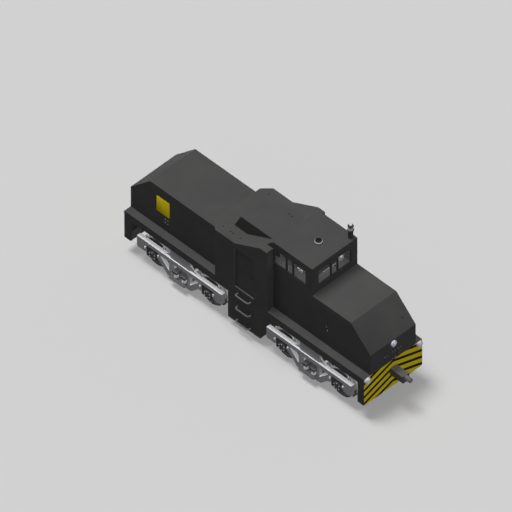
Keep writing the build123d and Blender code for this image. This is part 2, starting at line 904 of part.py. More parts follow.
def bogie_frame(centre_x):
    """Truss side frames joined by two transoms, with side bearers and brake lugs."""
    pedestal_rear = axle_x - pedestal_half
    brace_rear = chord_half + frame_end_z - chord_bottom
    brace_top = chord_half + window_top - chord_bottom - brace_width
    brace_foot = window_half + post_width
    brace_foot_z = window_top - (brace_top - brace_foot)
    with BuildPart() as frame:
        with BuildSketch(side_plane(x=centre_x)):
            outline(mirrored((
                (frame_half, frame_top),
                (frame_half, frame_end_z + frame_end_chamfer_length),
                (frame_half - frame_end_chamfer_length, frame_end_z),
                (axle_x + pedestal_half, frame_end_z),
                (axle_x + pedestal_half, pedestal_top),
                (pedestal_rear, pedestal_top),
                (pedestal_rear, frame_end_z),
                (brace_rear, frame_end_z),
                (chord_half, chord_bottom),
            )))
        extrude(amount=frame_outer, both=True)
        with BuildSketch(side_plane(x=centre_x)) as openings:
            for way in (-1, 1):
                outline((
                    (way * brace_foot, window_top),
                    (way * brace_top, window_top),
                    (way * brace_foot, brace_foot_z),
                ))
            outline((
                (-window_half, chord_top),
                (-window_half, window_top),
                (window_half, window_top),
                (window_half, chord_top),
            ))
            fillet(openings.vertices(), window_corner)
        extrude(amount=frame_outer, both=True, mode=Mode.SUBTRACT)
        block(
            (centre_x - frame_half, centre_x + frame_half),
            (-frame_inner, frame_inner),
            (chord_bottom, frame_top),
            Mode.SUBTRACT,
        )
        for side in (-1, 1):
            flange_y = (side * (frame_outer - frame_flange), side * frame_outer)
            flange_z = (frame_top - flange_plate, frame_top)
            block((centre_x - frame_half, centre_x + frame_half), flange_y, flange_z)
        for way in (-1, 1):
            beam_x = centre_x + way * transom_x
            block(
                (beam_x - transom_width / 2, beam_x + transom_width / 2),
                (-frame_inner, frame_inner),
                (frame_top - transom_depth, frame_top),
            )
        for pin_x in hanger_places(centre_x):
            for side in (-1, 1):
                block(
                    (pin_x - lug_half, pin_x + lug_half),
                    (side * hanger_y, side * frame_inner),
                    (lug_bottom, hanger_pin_z + lug_half),
                )
        for side in (-1, 1):
            block(
                (centre_x - bearer_half, centre_x + bearer_half),
                (side * bearer_inner, side * bearer_outer),
                (frame_top, sill_z - bearer_gap),
            )
            middle_y = side * (bearer_inner + bearer_outer) / 2
            with BuildSketch(side_plane(x=centre_x, y=middle_y)):
                for way in (-1, 1):
                    outline((
                        (way * bearer_half, frame_top),
                        (way * (bearer_half + gusset_reach), frame_top),
                        (way * bearer_half, frame_top + gusset_height),
                    ))
            extrude(amount=gusset_plate / 2, both=True)
    return frame


def axle_places(centre_x):
    return [centre_x - axle_x, centre_x + axle_x]


def hanger_places(centre_x):
    return [x + way * hanger_pin_x for x in axle_places(centre_x) for way in (-1, 1)]


def bogie_bolster(centre_x):
    """Cross beam on the springs, with the bowl that carries the body's centre plate."""
    bowl_radius = centre_plate_radius + bowl_side_gap + bowl_rim
    bowl_floor = centre_plate_z - pivot_gap
    neck_width = 2 * (bowl_radius - bowl_neck_inset)
    beam_top = bolster_bottom + bolster_depth
    with BuildPart() as bolster:
        block(
            (centre_x - bolster_half, centre_x + bolster_half),
            (-bolster_reach, bolster_reach),
            (bolster_bottom, beam_top),
        )
        for side in (-1, 1):
            for way in (-1, 1):
                cap_x = centre_x + way * spring_x
                cap_range = (cap_x - spring_cap_half, cap_x + spring_cap_half)
                block(
                    cap_range,
                    (side * spring_cap_inner, side * spring_cap_outer),
                    (spring_cap_bottom, spring_cap_bottom + spring_cap_plate),
                )
                block(
                    cap_range,
                    (side * spring_cap_inner, side * bolster_reach),
                    (spring_cap_bottom, beam_top),
                )
        with BuildSketch(Plane.XY.offset(beam_top)) as foot:
            with Locations((centre_x, 0)):
                Rectangle(2 * bolster_half, 2 * (bowl_radius + bowl_foot_reach))
        with BuildSketch(Plane.XY.offset(bowl_floor - bowl_depth)) as neck:
            with Locations((centre_x, 0)):
                Rectangle(neck_width, neck_width)
        loft()
        with BuildSketch(Plane.XY.offset(bowl_floor - bowl_depth)):
            with Locations((centre_x, 0)):
                Circle(bowl_radius)
        extrude(amount=2 * bowl_depth)
        with BuildSketch(Plane.XY.offset(bowl_floor)):
            with Locations((centre_x, 0)):
                Circle(bowl_radius - bowl_rim)
        extrude(amount=2 * bowl_depth, mode=Mode.SUBTRACT)
    return bolster


def bogie_springs(centre_x):
    """Four bolster springs, stacks of round coils, on a plank that reaches past both frames."""
    pitch = (spring_cap_bottom - spring_bottom) / spring_coils
    profile = [(0, spring_bottom)]
    for coil in range(spring_coils):
        foot = spring_bottom + coil * pitch
        profile += [
            (spring_core, foot),
            (spring_radius, foot + pitch / 4),
            (spring_radius, foot + pitch * 3 / 4),
        ]
    profile += [(spring_core, spring_cap_bottom), (0, spring_cap_bottom)]
    with BuildPart() as springs:
        block(
            (centre_x - plank_half, centre_x + plank_half),
            (-plank_outer, plank_outer),
            (chord_top, spring_bottom),
        )
        for way in (-1, 1):
            for side in (-1, 1):
                x = centre_x + way * spring_x
                y = side * spring_y
                with BuildSketch(side_plane(x=x, y=y)):
                    outline(profile)
                revolve(axis=Axis((x, y, 0), (0, 0, 1)))
    return springs


def axle_boxes(centre_x):
    """Four axle boxes in the pedestals, bored for the journals and closed by round covers."""
    half = pedestal_half - box_clearance
    with BuildPart() as boxes:
        for x in axle_places(centre_x):
            for side in (-1, 1):
                block(
                    (x - half, x + half),
                    (side * box_inner, side * box_outer),
                    (box_bottom, pedestal_top - box_clearance),
                )
                cover = Plane(origin=(x, side * box_outer, axle_z), z_dir=(0, side, 0))
                with BuildSketch(cover):
                    Circle(box_cover_radius)
                extrude(amount=box_cover_outer - box_outer)
                mouth = Plane(origin=(x, side * box_inner, axle_z), z_dir=(0, side, 0))
                with BuildSketch(mouth):
                    Circle(journal_radius + journal_gap)
                extrude(amount=journal_end + journal_gap - box_inner, mode=Mode.SUBTRACT)
    return boxes


def polar(radius, angle, way):
    """A point about a wheel's centre, angle in degrees up from level; way mirrors it."""
    return (way * radius * cos(radians(angle)), radius * sin(radians(angle)))


def brakes(centre_x):
    """Clasp brakes: by each wheel pair, before and behind it, a beam with shoes and hangers."""
    beam_x, beam_rise = polar(brake_beam_out, shoe_angle, 1)
    beam_z = axle_z + beam_rise
    shoe_inner = tread_radius + shoe_gap
    shoe_outer = shoe_inner + shoe_depth
    shoe_angles = (shoe_angle - shoe_spread, shoe_angle, shoe_angle + shoe_spread)
    lug_inner = shoe_outer - shoe_depth / 2
    lug_spread = shoe_spread / 4
    tread_middle = wheel_inner + (wheel_width + flange_width) / 2
    with BuildPart() as rigging:
        for x in axle_places(centre_x):
            for way in (-1, 1):
                beam = Plane(origin=(x + way * beam_x, -hanger_y, beam_z), z_dir=(0, 1, 0))
                with BuildSketch(beam):
                    Circle(brake_beam_radius)
                extrude(amount=2 * hanger_y)
                for side in (-1, 1):
                    with BuildSketch(side_plane(x, side * tread_middle, axle_z)):
                        with BuildLine():
                            inner = [polar(shoe_inner, angle, way) for angle in shoe_angles]
                            outer = [polar(shoe_outer, angle, way) for angle in shoe_angles]
                            ThreePointArc(*inner)
                            ThreePointArc(*outer)
                            Line(inner[0], outer[0])
                            Line(inner[-1], outer[-1])
                        make_face()
                        outline((
                            polar(lug_inner, shoe_angle - lug_spread, way),
                            polar(brake_beam_out, shoe_angle - lug_spread, way),
                            polar(brake_beam_out, shoe_angle + lug_spread, way),
                            polar(lug_inner, shoe_angle + lug_spread, way),
                        ))
                    extrude(amount=shoe_width / 2, both=True)
                    with BuildSketch(side_plane(x, side * (hanger_y - hanger_plate / 2), 0)):
                        hanger_outline(way, beam_x, beam_z)
                    extrude(amount=hanger_plate / 2, both=True)
    return rigging


def hanger_outline(way, beam_x, beam_z):
    """A flat bar with round ends, from the hanger's pin down to the brake beam."""
    top = Vector(way * hanger_pin_x, hanger_pin_z)
    foot = Vector(way * beam_x, beam_z)
    across = (foot - top).normalized().rotate(Axis.Z, 90) * (hanger_bar / 2)
    outline(((top + across), (foot + across), (foot - across), (top - across)))
    with Locations(top, foot):
        Circle(hanger_bar / 2)


def wheelset(x):
    """An axle with its two wheels and journals, turned as one profile about the axle."""
    back = wheel_inner
    face = wheel_inner + wheel_width
    rim = tread_radius - tyre_depth
    web_back = (back + face - web_thickness) / 2
    web_face = web_back + web_thickness
    flange_top = tread_radius + flange_height
    root = back + flange_width
    half_profile = (
        (0, journal_end),
        (journal_radius, journal_end),
        (journal_radius, hub_outer + 2 * journal_blend),
        (axle_radius, hub_outer + journal_blend),
        (axle_radius, hub_outer),
        (hub_radius, hub_outer),
        (hub_radius + hub_blend, web_face + hub_blend),
        (rim - web_blend, web_face),
        (rim, face),
        (tread_radius - tread_bevel, face),
        (tread_radius, root + flange_tip),
        (flange_top - flange_tip, root - flange_tip),
        (flange_top, back + flange_width / 2),
        (flange_top - flange_tip, back + flange_tip / 4),
        (tread_radius, back),
        (rim, back),
        (rim - web_blend, web_back),
        (hub_radius + hub_blend, web_back - hub_blend),
        (hub_radius, back - hub_inset),
        (axle_radius, back - hub_inset),
    )
    profile = (*half_profile, *((radius, -y) for radius, y in reversed(half_profile)))
    with BuildPart() as wheels:
        with BuildSketch(Plane.XY.offset(axle_z).shift_origin((x, 0, axle_z))):
            outline(profile)
        revolve(axis=Axis((x, 0, axle_z), (0, 1, 0)))
    return wheels


for bogie_name, centre_x in (("front", bogie_x), ("rear", -bogie_x)):
    save(bogie_frame(centre_x), f"{bogie_name}_bogie_frame")
    save(bogie_bolster(centre_x), f"{bogie_name}_bogie_bolster")
    save(bogie_springs(centre_x), f"{bogie_name}_bogie_springs")
    save(axle_boxes(centre_x), f"{bogie_name}_axle_boxes")
    save(brakes(centre_x), f"{bogie_name}_brakes")
    for axle_name, x in zip(("inner", "outer"), sorted(axle_places(centre_x), key=abs)):
        save(wheelset(x), f"{bogie_name}_wheelset_{axle_name}")
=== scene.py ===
from math import cos, pi, radians, sin

import bmesh
import bpy
from mathutils import Matrix, Vector


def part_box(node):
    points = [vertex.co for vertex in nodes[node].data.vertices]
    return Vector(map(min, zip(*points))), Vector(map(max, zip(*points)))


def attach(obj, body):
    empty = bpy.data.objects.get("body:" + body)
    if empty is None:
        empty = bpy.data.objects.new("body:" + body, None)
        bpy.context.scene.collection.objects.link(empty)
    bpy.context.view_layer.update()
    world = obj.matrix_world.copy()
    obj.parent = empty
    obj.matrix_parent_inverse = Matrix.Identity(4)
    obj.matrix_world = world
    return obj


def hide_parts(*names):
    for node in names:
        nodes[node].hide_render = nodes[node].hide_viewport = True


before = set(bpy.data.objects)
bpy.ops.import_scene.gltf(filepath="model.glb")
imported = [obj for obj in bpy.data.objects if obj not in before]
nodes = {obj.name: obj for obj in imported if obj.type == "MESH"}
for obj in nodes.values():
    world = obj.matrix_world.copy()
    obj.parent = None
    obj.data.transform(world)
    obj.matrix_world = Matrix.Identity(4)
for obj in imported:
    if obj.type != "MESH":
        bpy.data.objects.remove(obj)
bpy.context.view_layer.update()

# A small diesel locomotive in dead-flat charcoal enamel, on two light grey truss bogies.
# Metres, with +X forward, +Y the left-hand side and +Z up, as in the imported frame.

MM = 0.001
UP = Vector((0, 0, 1))
FORWARD = Vector((1, 0, 0))
LEFT = Vector((0, 1, 0))
SIDES = (-1, 1)

scene = bpy.context.scene

# Places that several pieces share
BODY = "locomotive"
END_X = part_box("front_pilot")[1].x
DECK_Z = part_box("front_pilot")[1].z
HOOD_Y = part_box("rear_hood")[1].y
# Roofs, from the lowest to the highest
LOW_ROOF_Z = 3.23
HIGH_ROOF_Z = 3.73
ROOF_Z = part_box("top_roof")[1].z
PLATFORM_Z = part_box("driver_platform")[1].z
BOGIE_X = 2.5      # centre of a bogie, from the middle
AXLE_X = 1.0625    # axle, from the centre of its bogie
AXLE_Z = 0.488
TREAD = 0.46       # radius of the wheels' treads
FRAME_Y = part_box("front_bogie_frame")[1].y
# Black bands of the pilots: height of one band's underside at the middle, width, spacing, and
# fall in each metre sideways
BAND_FOOT = 0.1375
BAND_WIDTH = 0.1
BAND_SPACING = 0.25
BAND_FALL = 0.34


# Colour and nodes
def linear(code):
    """An sRGB hex colour as linear red, green, blue and alpha."""
    values = [int(code[i:i + 2], 16) / 255 for i in (1, 3, 5)]
    return (*[v / 12.92 if v <= 0.04045 else ((v + 0.055) / 1.055) ** 2.4 for v in values], 1.0)


def add(tree, kind, inputs=None, out=0, **settings):
    """Adds a node with its settings, links or sets its inputs, and gives back one of its outputs."""
    node = tree.nodes.new("ShaderNode" + kind)
    for name, value in settings.items():
        setattr(node, name, value)
    for name, value in (inputs or {}).items():
        if isinstance(value, bpy.types.NodeSocket):
            tree.links.new(value, node.inputs[name])
        else:
            node.inputs[name].default_value = value
    return node.outputs[out]


def start(name, roughness, level=0.5):
    """A material with its tree, its shader set up, and the place on the piece in metres."""
    material = bpy.data.materials.new(name)
    material.use_nodes = True
    tree = material.node_tree
    shader = tree.nodes["Principled BSDF"]
    shader.inputs["Roughness"].default_value = roughness
    shader.inputs["Specular IOR Level"].default_value = level
    return material, tree, shader, add(tree, "TexCoord", out="Object")


# Finishes
def enamel(name, fresh, faded, dust, dust_top=0.0, roughness=0.72, level=0.06, lit_top=None):
    """Dead-flat alkyd enamel sprayed on steel plate.

    The eye gets an even, almost glare-free coat: soft cloudy fading a metre across, faint streaks
    where rain runs down, bare-looking rubbed edges, and track dust below the height dust_top.
    Where a top colour is given, faces that look up are painted lighter towards it: a painted highlight that
    stands in for light from above.
    """
    material, tree, shader, place = start(name, roughness, level=level)
    # Fading follows how the sheets weather, in patches of about 900 mm.
    patch = add(tree, "TexNoise", {"Vector": place, "Scale": 1 / 0.9, "Detail": 3.0})
    cloud = add(tree, "MapRange", {"Value": patch, "From Min": 0.35, "From Max": 0.7})
    colour = add(tree, "Mix", {0: cloud, 6: linear(fresh), 7: linear(faded)}, 2, data_type="RGBA")
    # Rain runs in streaks about 60 mm wide and a metre long.
    drawn = add(tree, "Mapping", {"Vector": place, "Scale": (1, 1, 0.06)})
    streak = add(tree, "TexNoise", {"Vector": drawn, "Scale": 1 / 0.06, "Detail": 4.0})
    streak = add(tree, "MapRange", {"Value": streak, "From Min": 0.56, "From Max": 0.8, "To Max": 0.45})
    colour = add(tree, "Mix", {0: streak, 6: colour, 7: linear(faded)}, 2, data_type="RGBA")
    if dust_top:
        height = add(tree, "SeparateXYZ", {0: place}, "Z")
        low = add(tree, "MapRange", {"Value": height, "From Min": dust_top, "From Max": 0.0, "To Max": 0.6})
        speck = add(tree, "TexNoise", {"Vector": place, "Scale": 1 / 0.035, "Detail": 6.0})
        speck = add(tree, "MapRange", {"Value": speck, "From Min": 0.4, "From Max": 0.7})
        settled = add(tree, "Math", {0: low, 1: speck}, operation="MULTIPLY")
        colour = add(tree, "Mix", {0: settled, 6: colour, 7: linear(dust)}, 2, data_type="RGBA")
    # Edges are rubbed over about 5 mm, where a rounded normal leaves the true one.
    soft = add(tree, "Bevel", {"Radius": 5 * MM}, samples=4)
    flat = add(tree, "NewGeometry", out="Normal")
    apart = add(tree, "VectorMath", {0: soft, 1: flat}, "Value", operation="DOT_PRODUCT")
    rub = add(tree, "TexNoise", {"Vector": place, "Scale": 1 / 0.08, "Detail": 5.0})
    rub = add(tree, "MapRange", {"Value": rub, "From Min": 0.45, "From Max": 0.75, "To Max": 0.5})
    edge = add(tree, "MapRange", {"Value": apart, "From Min": 0.99, "From Max": 0.9})
    worn = add(tree, "Math", {0: edge, 1: rub}, operation="MULTIPLY")
    colour = add(tree, "Mix", {0: worn, 6: colour, 7: linear(dust)}, 2, data_type="RGBA")
    # Painted highlight: faces that look up are mixed towards the lighter top colour, as if lit from above.
    if lit_top:
        painted_top_light = add(tree, "SeparateXYZ", {0: flat}, "Z")
        painted_top_light = add(tree, "MapRange", {"Value": painted_top_light, "From Min": 0.3, "From Max": 0.9})
        colour = add(tree, "Mix", {0: painted_top_light, 6: colour, 7: linear(lit_top)}, 2, data_type="RGBA")
    tree.links.new(colour, shader.inputs["Base Color"])
    sheen = add(tree, "TexNoise", {"Vector": place, "Scale": 1 / 0.25, "Detail": 5.0})
    sheen = add(tree, "MapRange", {"Value": sheen, "To Min": roughness - 0.1, "To Max": roughness + 0.1})
    tree.links.new(sheen, shader.inputs["Roughness"])
    # Orange peel is about 3 mm across and is drawn at 14 mm, which shows in a close view.
    peel = add(tree, "TexNoise", {"Vector": place, "Scale": 1 / 0.014, "Detail": 2.0})
    bump = add(tree, "Bump", {"Height": peel, "Distance": 0.2 * MM, "Strength": 0.5})
    tree.links.new(bump, shader.inputs["Normal"])
    return material


def banded_enamel(name, yellow, black, side):
    """The same flat enamel, masked and sprayed in bands on the outer face of a pilot.

    Four black bands fall from the middle to both sides on safety yellow. The plate's edges and
    back are the body's colour. The masked borders are crisp, with a few chips about 20 mm across.
    """
    material, tree, shader, place = start(name, 0.7, level=0.06)
    along = add(tree, "SeparateXYZ", {0: place}, "X")
    across = add(tree, "SeparateXYZ", {0: place}, "Y")
    height = add(tree, "SeparateXYZ", {0: place}, "Z")
    across = add(tree, "Math", {0: across}, operation="ABSOLUTE")
    along = add(tree, "Math", {0: along}, operation="ABSOLUTE")
    # Heights are counted from the lower edge of one band, which falls towards both sides.
    level_z = add(tree, "Math", {0: across, 1: BAND_FALL, 2: height}, operation="MULTIPLY_ADD")
    level_z = add(tree, "Math", {0: level_z, 1: BAND_FOOT}, operation="SUBTRACT")
    turn = add(tree, "Math", {0: level_z, 1: BAND_SPACING}, operation="FLOORED_MODULO")
    band = add(tree, "Math", {0: turn, 1: BAND_WIDTH}, operation="LESS_THAN")
    chip = add(tree, "TexNoise", {"Vector": place, "Scale": 1 / 0.02, "Detail": 5.0})
    chip = add(tree, "Math", {0: chip, 1: 0.7}, operation="LESS_THAN")
    band = add(tree, "Math", {0: band, 1: chip}, operation="MULTIPLY")
    haze = add(tree, "TexNoise", {"Vector": place, "Scale": 1 / 0.4, "Detail": 4.0})
    haze = add(tree, "MapRange", {"Value": haze, "From Min": 0.3, "From Max": 0.75, "To Max": 0.05})
    yellow = add(tree, "Mix", {0: haze, 6: linear(yellow), 7: linear(side)}, 2, data_type="RGBA")
    colour = add(tree, "Mix", {0: band, 6: yellow, 7: linear(black)}, 2, data_type="RGBA")
    face = add(tree, "Math", {0: along, 1: END_X - 0.5 * MM}, operation="GREATER_THAN")
    colour = add(tree, "Mix", {0: face, 6: linear(side), 7: colour}, 2, data_type="RGBA")
    tree.links.new(colour, shader.inputs["Base Color"])
    peel = add(tree, "TexNoise", {"Vector": place, "Scale": 1 / 0.014, "Detail": 2.0})
    bump = add(tree, "Bump", {"Height": peel, "Distance": 0.2 * MM, "Strength": 0.5})
    tree.links.new(bump, shader.inputs["Normal"])
    return material


def metal(name, clean, stained, roughness, grain, depth, level):
    """Bare, plated or black-oxided metal, or near-black painted shade on small studs. grain and depth are
    the size of its texture in mm.

    The eye gets a tight grain from the casting, forging or plating, and darker stains about
    160 mm across where dust and oil have stuck.
    """
    material, tree, shader, place = start(name, roughness, level)
    pore = add(tree, "TexNoise", {"Vector": place, "Scale": 1000 / grain, "Detail": 5.0})
    stain = add(tree, "TexNoise", {"Vector": place, "Scale": 1 / 0.16, "Detail": 4.0})
    stain = add(tree, "MapRange", {"Value": stain, "From Min": 0.45, "From Max": 0.75})
    colour = add(tree, "Mix", {0: stain, 6: linear(clean), 7: linear(stained)}, 2, data_type="RGBA")
    tree.links.new(colour, shader.inputs["Base Color"])
    spread = add(tree, "MapRange", {"Value": pore, "To Min": roughness - 0.1, "To Max": roughness + 0.1})
    tree.links.new(spread, shader.inputs["Roughness"])
    bump = add(tree, "Bump", {"Height": pore, "Distance": depth * MM, "Strength": 0.6})
    tree.links.new(bump, shader.inputs["Normal"])
    return material


def tyre_steel(name, tread, face, hub):
    """Rolled steel wheels: treads and flanges polished by running, faces dull, hubs oily.

    The polished band carries fine rings about 3 mm apart, drawn 8 mm apart so that they show.
    """
    material, tree, shader, place = start(name, 0.5, level=0.25)
    along = add(tree, "SeparateXYZ", {0: place}, "X")
    across = add(tree, "SeparateXYZ", {0: place}, "Y")
    height = add(tree, "SeparateXYZ", {0: place}, "Z")
    along = add(tree, "Math", {0: along}, operation="ABSOLUTE")
    along = add(tree, "Math", {0: along, 1: BOGIE_X}, operation="SUBTRACT")
    along = add(tree, "Math", {0: along}, operation="ABSOLUTE")
    along = add(tree, "Math", {0: along, 1: AXLE_X}, operation="SUBTRACT")
    height = add(tree, "Math", {0: height, 1: AXLE_Z}, operation="SUBTRACT")
    spoke = add(tree, "CombineXYZ", {"X": along, "Y": height})
    radius = add(tree, "VectorMath", {0: spoke}, "Value", operation="LENGTH")
    running = add(tree, "Math", {0: radius, 1: TREAD - 4 * MM}, operation="GREATER_THAN")
    oily = add(tree, "MapRange", {"Value": radius, "From Min": 0.22, "From Max": 0.13, "To Max": 0.8})
    patch = add(tree, "TexNoise", {"Vector": place, "Scale": 1 / 0.12, "Detail": 5.0})
    patch = add(tree, "MapRange", {"Value": patch, "From Min": 0.45, "From Max": 0.7, "To Max": 0.5})
    dull = add(tree, "Mix", {0: patch, 6: linear(face), 7: linear(hub)}, 2, data_type="RGBA")
    dull = add(tree, "Mix", {0: oily, 6: dull, 7: linear(hub)}, 2, data_type="RGBA")
    colour = add(tree, "Mix", {0: running, 6: dull, 7: linear(tread)}, 2, data_type="RGBA")
    tree.links.new(colour, shader.inputs["Base Color"])
    gloss = add(tree, "MapRange", {"Value": running, "To Min": 0.6, "To Max": 0.38})
    tree.links.new(gloss, shader.inputs["Roughness"])
    ring = add(tree, "Math", {0: across, 1: 2 * pi / 0.008}, operation="MULTIPLY")
    ring = add(tree, "Math", {0: ring}, operation="SINE")
    pore = add(tree, "TexNoise", {"Vector": place, "Scale": 1 / 0.012, "Detail": 4.0})
    relief = add(tree, "Mix", {0: running, 2: pore, 3: ring}, 0)
    bump = add(tree, "Bump", {"Height": relief, "Distance": 0.2 * MM, "Strength": 0.5})
    tree.links.new(bump, shader.inputs["Normal"])
    return material


def chequer_plate(name, worn, dark):
    """Rolled steel floor plate with raised bars, dull in the hollows and rubbed on top.

    The bars stand 1.5 mm proud, crossing by turns at 45 degrees, 32 mm apart.
    """
    material, tree, shader, place = start(name, 0.6, level=0.3)
    cells = (31, 31, 31)    # in each metre
    slanted = add(tree, "Mapping", {"Vector": place, "Rotation": (0, 0, radians(45)), "Scale": cells})
    cell = add(tree, "TexChecker", {"Vector": slanted, "Scale": 1.0}, "Fac")
    spot = add(tree, "VectorMath", {0: slanted}, operation="FRACTION")
    spot = add(tree, "VectorMath", {0: spot, 1: (0.5, 0.5, 0.5)}, operation="SUBTRACT")
    near_x = add(tree, "SeparateXYZ", {0: spot}, "X")
    near_y = add(tree, "SeparateXYZ", {0: spot}, "Y")
    narrow = add(tree, "Mix", {0: cell, 2: near_x, 3: near_y}, 0)
    narrow = add(tree, "Math", {0: narrow}, operation="ABSOLUTE")
    bar = add(tree, "MapRange", {"Value": narrow, "From Min": 0.2, "From Max": 0.1})
    grime = add(tree, "TexNoise", {"Vector": place, "Scale": 1 / 0.3, "Detail": 5.0})
    shown = add(tree, "Math", {0: bar, 1: grime}, operation="MULTIPLY")
    colour = add(tree, "Mix", {0: shown, 6: linear(dark), 7: linear(worn)}, 2, data_type="RGBA")
    tree.links.new(colour, shader.inputs["Base Color"])
    bump = add(tree, "Bump", {"Height": bar, "Distance": 1.5 * MM, "Strength": 0.35})
    tree.links.new(bump, shader.inputs["Normal"])
    return material


def clear_glass(name, tint):
    """Laminated float glass: clear, faintly tinted, with a film of dust that catches the light."""
    material, tree, shader, place = start(name, 0.06)
    shader.inputs["Base Color"].default_value = linear(tint)
    shader.inputs["IOR"].default_value = 1.52
    film = add(tree, "TexNoise", {"Vector": place, "Scale": 1 / 0.2, "Detail": 5.0})
    film = add(tree, "MapRange", {"Value": film, "From Min": 0.35, "From Max": 0.8,
                                  "To Min": 0.03, "To Max": 0.08})
    tree.links.new(film, shader.inputs["Alpha"])
    return material


def pressed_glass(name, pale, deep, ribs):
    """Pressed glass or acrylic over a reflector or lamp: milky, glossy, with moulded ribs.

    ribs is the spacing of the modelled ribs in mm. The fine lines are drawn about twice as far
    apart, so that they show. Dial faces have the same milky gloss.
    """
    material, tree, shader, place = start(name, 0.22, level=0.3)
    wave = add(tree, "TexWave", {"Vector": place, "Scale": 1000 / ribs / 2 / pi, "Distortion": 0.2},
               "Fac", bands_direction="Z")
    colour = add(tree, "Mix", {0: wave, 6: linear(pale), 7: linear(deep)}, 2, data_type="RGBA")
    tree.links.new(colour, shader.inputs["Base Color"])
    shader.inputs["Coat Weight"].default_value = 0.15
    bump = add(tree, "Bump", {"Height": wave, "Distance": 0.4 * MM, "Strength": 0.5})
    tree.links.new(bump, shader.inputs["Normal"])
    return material


def rubber(name, black, bloom):
    """Extruded rubber or moulded plastic: dull black with a grey bloom and fine lines from the die."""
    material, tree, shader, place = start(name, 0.75, level=0.2)
    cloud = add(tree, "TexNoise", {"Vector": place, "Scale": 1 / 0.05, "Detail": 5.0})
    colour = add(tree, "Mix", {0: cloud, 6: linear(black), 7: linear(bloom)}, 2, data_type="RGBA")
    tree.links.new(colour, shader.inputs["Base Color"])
    # Die lines are under 1 mm apart and are drawn 3 mm apart.
    line = add(tree, "TexNoise", {"Vector": place, "Scale": 1 / 0.003})
    bump = add(tree, "Bump", {"Height": line, "Distance": 0.1 * MM, "Strength": 0.5})
    tree.links.new(bump, shader.inputs["Normal"])
    return material


def seat_vinyl(name, hide, crease):
    """Embossed vinyl over foam: leather grain 4 mm across, with a soft sheen on its ridges."""
    material, tree, shader, place = start(name, 0.5, level=0.35)
    cell = add(tree, "TexVoronoi", {"Vector": place, "Scale": 1 / 0.004}, "Distance")
    wear = add(tree, "TexNoise", {"Vector": place, "Scale": 1 / 0.15, "Detail": 3.0})
    grain = add(tree, "Math", {0: cell, 1: wear}, operation="MULTIPLY")
    colour = add(tree, "Mix", {0: grain, 6: linear(hide), 7: linear(crease)}, 2, data_type="RGBA")
    tree.links.new(colour, shader.inputs["Base Color"])
    shader.inputs["Sheen Weight"].default_value = 0.1
    bump = add(tree, "Bump", {"Height": cell, "Distance": 0.3 * MM, "Strength": 0.6})
    tree.links.new(bump, shader.inputs["Normal"])
    return material


charcoal = enamel("charcoal_enamel", "#494949", "#4e4e4d", "#65625c", 0.5)
banded = banded_enamel("banded_enamel", "#ffe61e", "#0c0c0c", "#494949")
yellow = enamel("safety_yellow_enamel", "#ffe61e", "#f3da2a", "#a99a48")
# The bogies' grey carries a painted highlight on faces that look up.
light_grey = enamel("light_grey_enamel", "#bdbec3", "#b6b6ba", "#8f8a82", 0.6, lit_top="#f2f2f5")
mid_grey = enamel("mid_grey_primer", "#5f5f61", "#5a5a5b", "#77726a", 0.5)
rung_grey = enamel("rung_grey_enamel", "#757577", "#6e6e70", "#8a8780", 0.5)
pale_grey = enamel("pale_grey_enamel", "#b9bbbf", "#b2b3b5", "#8d8a84")
engine_green = enamel("machinery_green_enamel", "#5b6b60", "#56645a", "#3b3a35")
wheel_steel = tyre_steel("rolled_wheel_steel", "#c9cace", "#616164", "#3e3d3c")
spring_steel = metal("galvanised_spring_steel", "#dedfe6", "#c6c6c9", 0.45, 9, 0.1, 0.2)
zinc = metal("zinc_plated_bolts", "#d9d9dc", "#bcbcbc", 0.45, 6, 0.05, 0.2)
black_bolt = metal("black_oxide_bolts", "#2b2b2c", "#363431", 0.55, 6, 0.05, 0.2)
# The roof studs are near black: painted shade standing in for the shaded sides of small studs in the body's
# charcoal.
stud_shade_black = metal("roof_studs_painted_shade", "#101010", "#181818", 0.7, 6, 0.05, 0.05)
cast_steel = metal("cast_coupler_steel", "#5c5c5b", "#525150", 0.6, 11, 0.4, 0.12)
worn_steel = metal("rubbed_coupler_steel", "#6a6a69", "#5c5b59", 0.45, 8, 0.1, 0.2)
lamp_white = enamel("lamp_white_enamel", "#d7d7ee", "#cfcfe2", "#b5b5c0", roughness=0.5, level=0.15)
bright_ring = metal("turned_aluminium", "#dfdfe1", "#cccccd", 0.4, 5, 0.05, 0.25)
lamp_glass = pressed_glass("fluted_lamp_glass", "#f0f0ff", "#d8d8ee", 14)
beacon_glass = pressed_glass("smoked_beacon_acrylic", "#c4c4c7", "#a9a9ad", 11)
window_glass = clear_glass("laminated_window_glass", "#c9d2d0")
window_rubber = rubber("window_rubber", "#1b1b1b", "#2c2c2b")
floor_steel = chequer_plate("chequer_floor_plate", "#585857", "#484746")
vinyl = seat_vinyl("embossed_seat_vinyl", "#26272a", "#3a3b3e")
bakelite = rubber("moulded_knob_plastic", "#161616", "#242424")
dial_white = pressed_glass("dial_faces", "#e4e4df", "#dcdcd6", 60)


# Shapes
def block(low, high, edge=2 * MM):
    """A plate or bar between two corners, with rounded edges."""
    mesh = bmesh.new()
    bmesh.ops.create_cube(mesh, size=1.0)
    size = [abs(b - a) for a, b in zip(low, high)]
    middle = [(a + b) / 2 for a, b in zip(low, high)]
    bmesh.ops.transform(mesh, matrix=Matrix.LocRotScale(middle, None, size), verts=mesh.verts)
    bmesh.ops.bevel(mesh, geom=mesh.edges[:], offset=min(edge, min(size) / 3), segments=2,
                    profile=0.5, affect="EDGES")
    return mesh


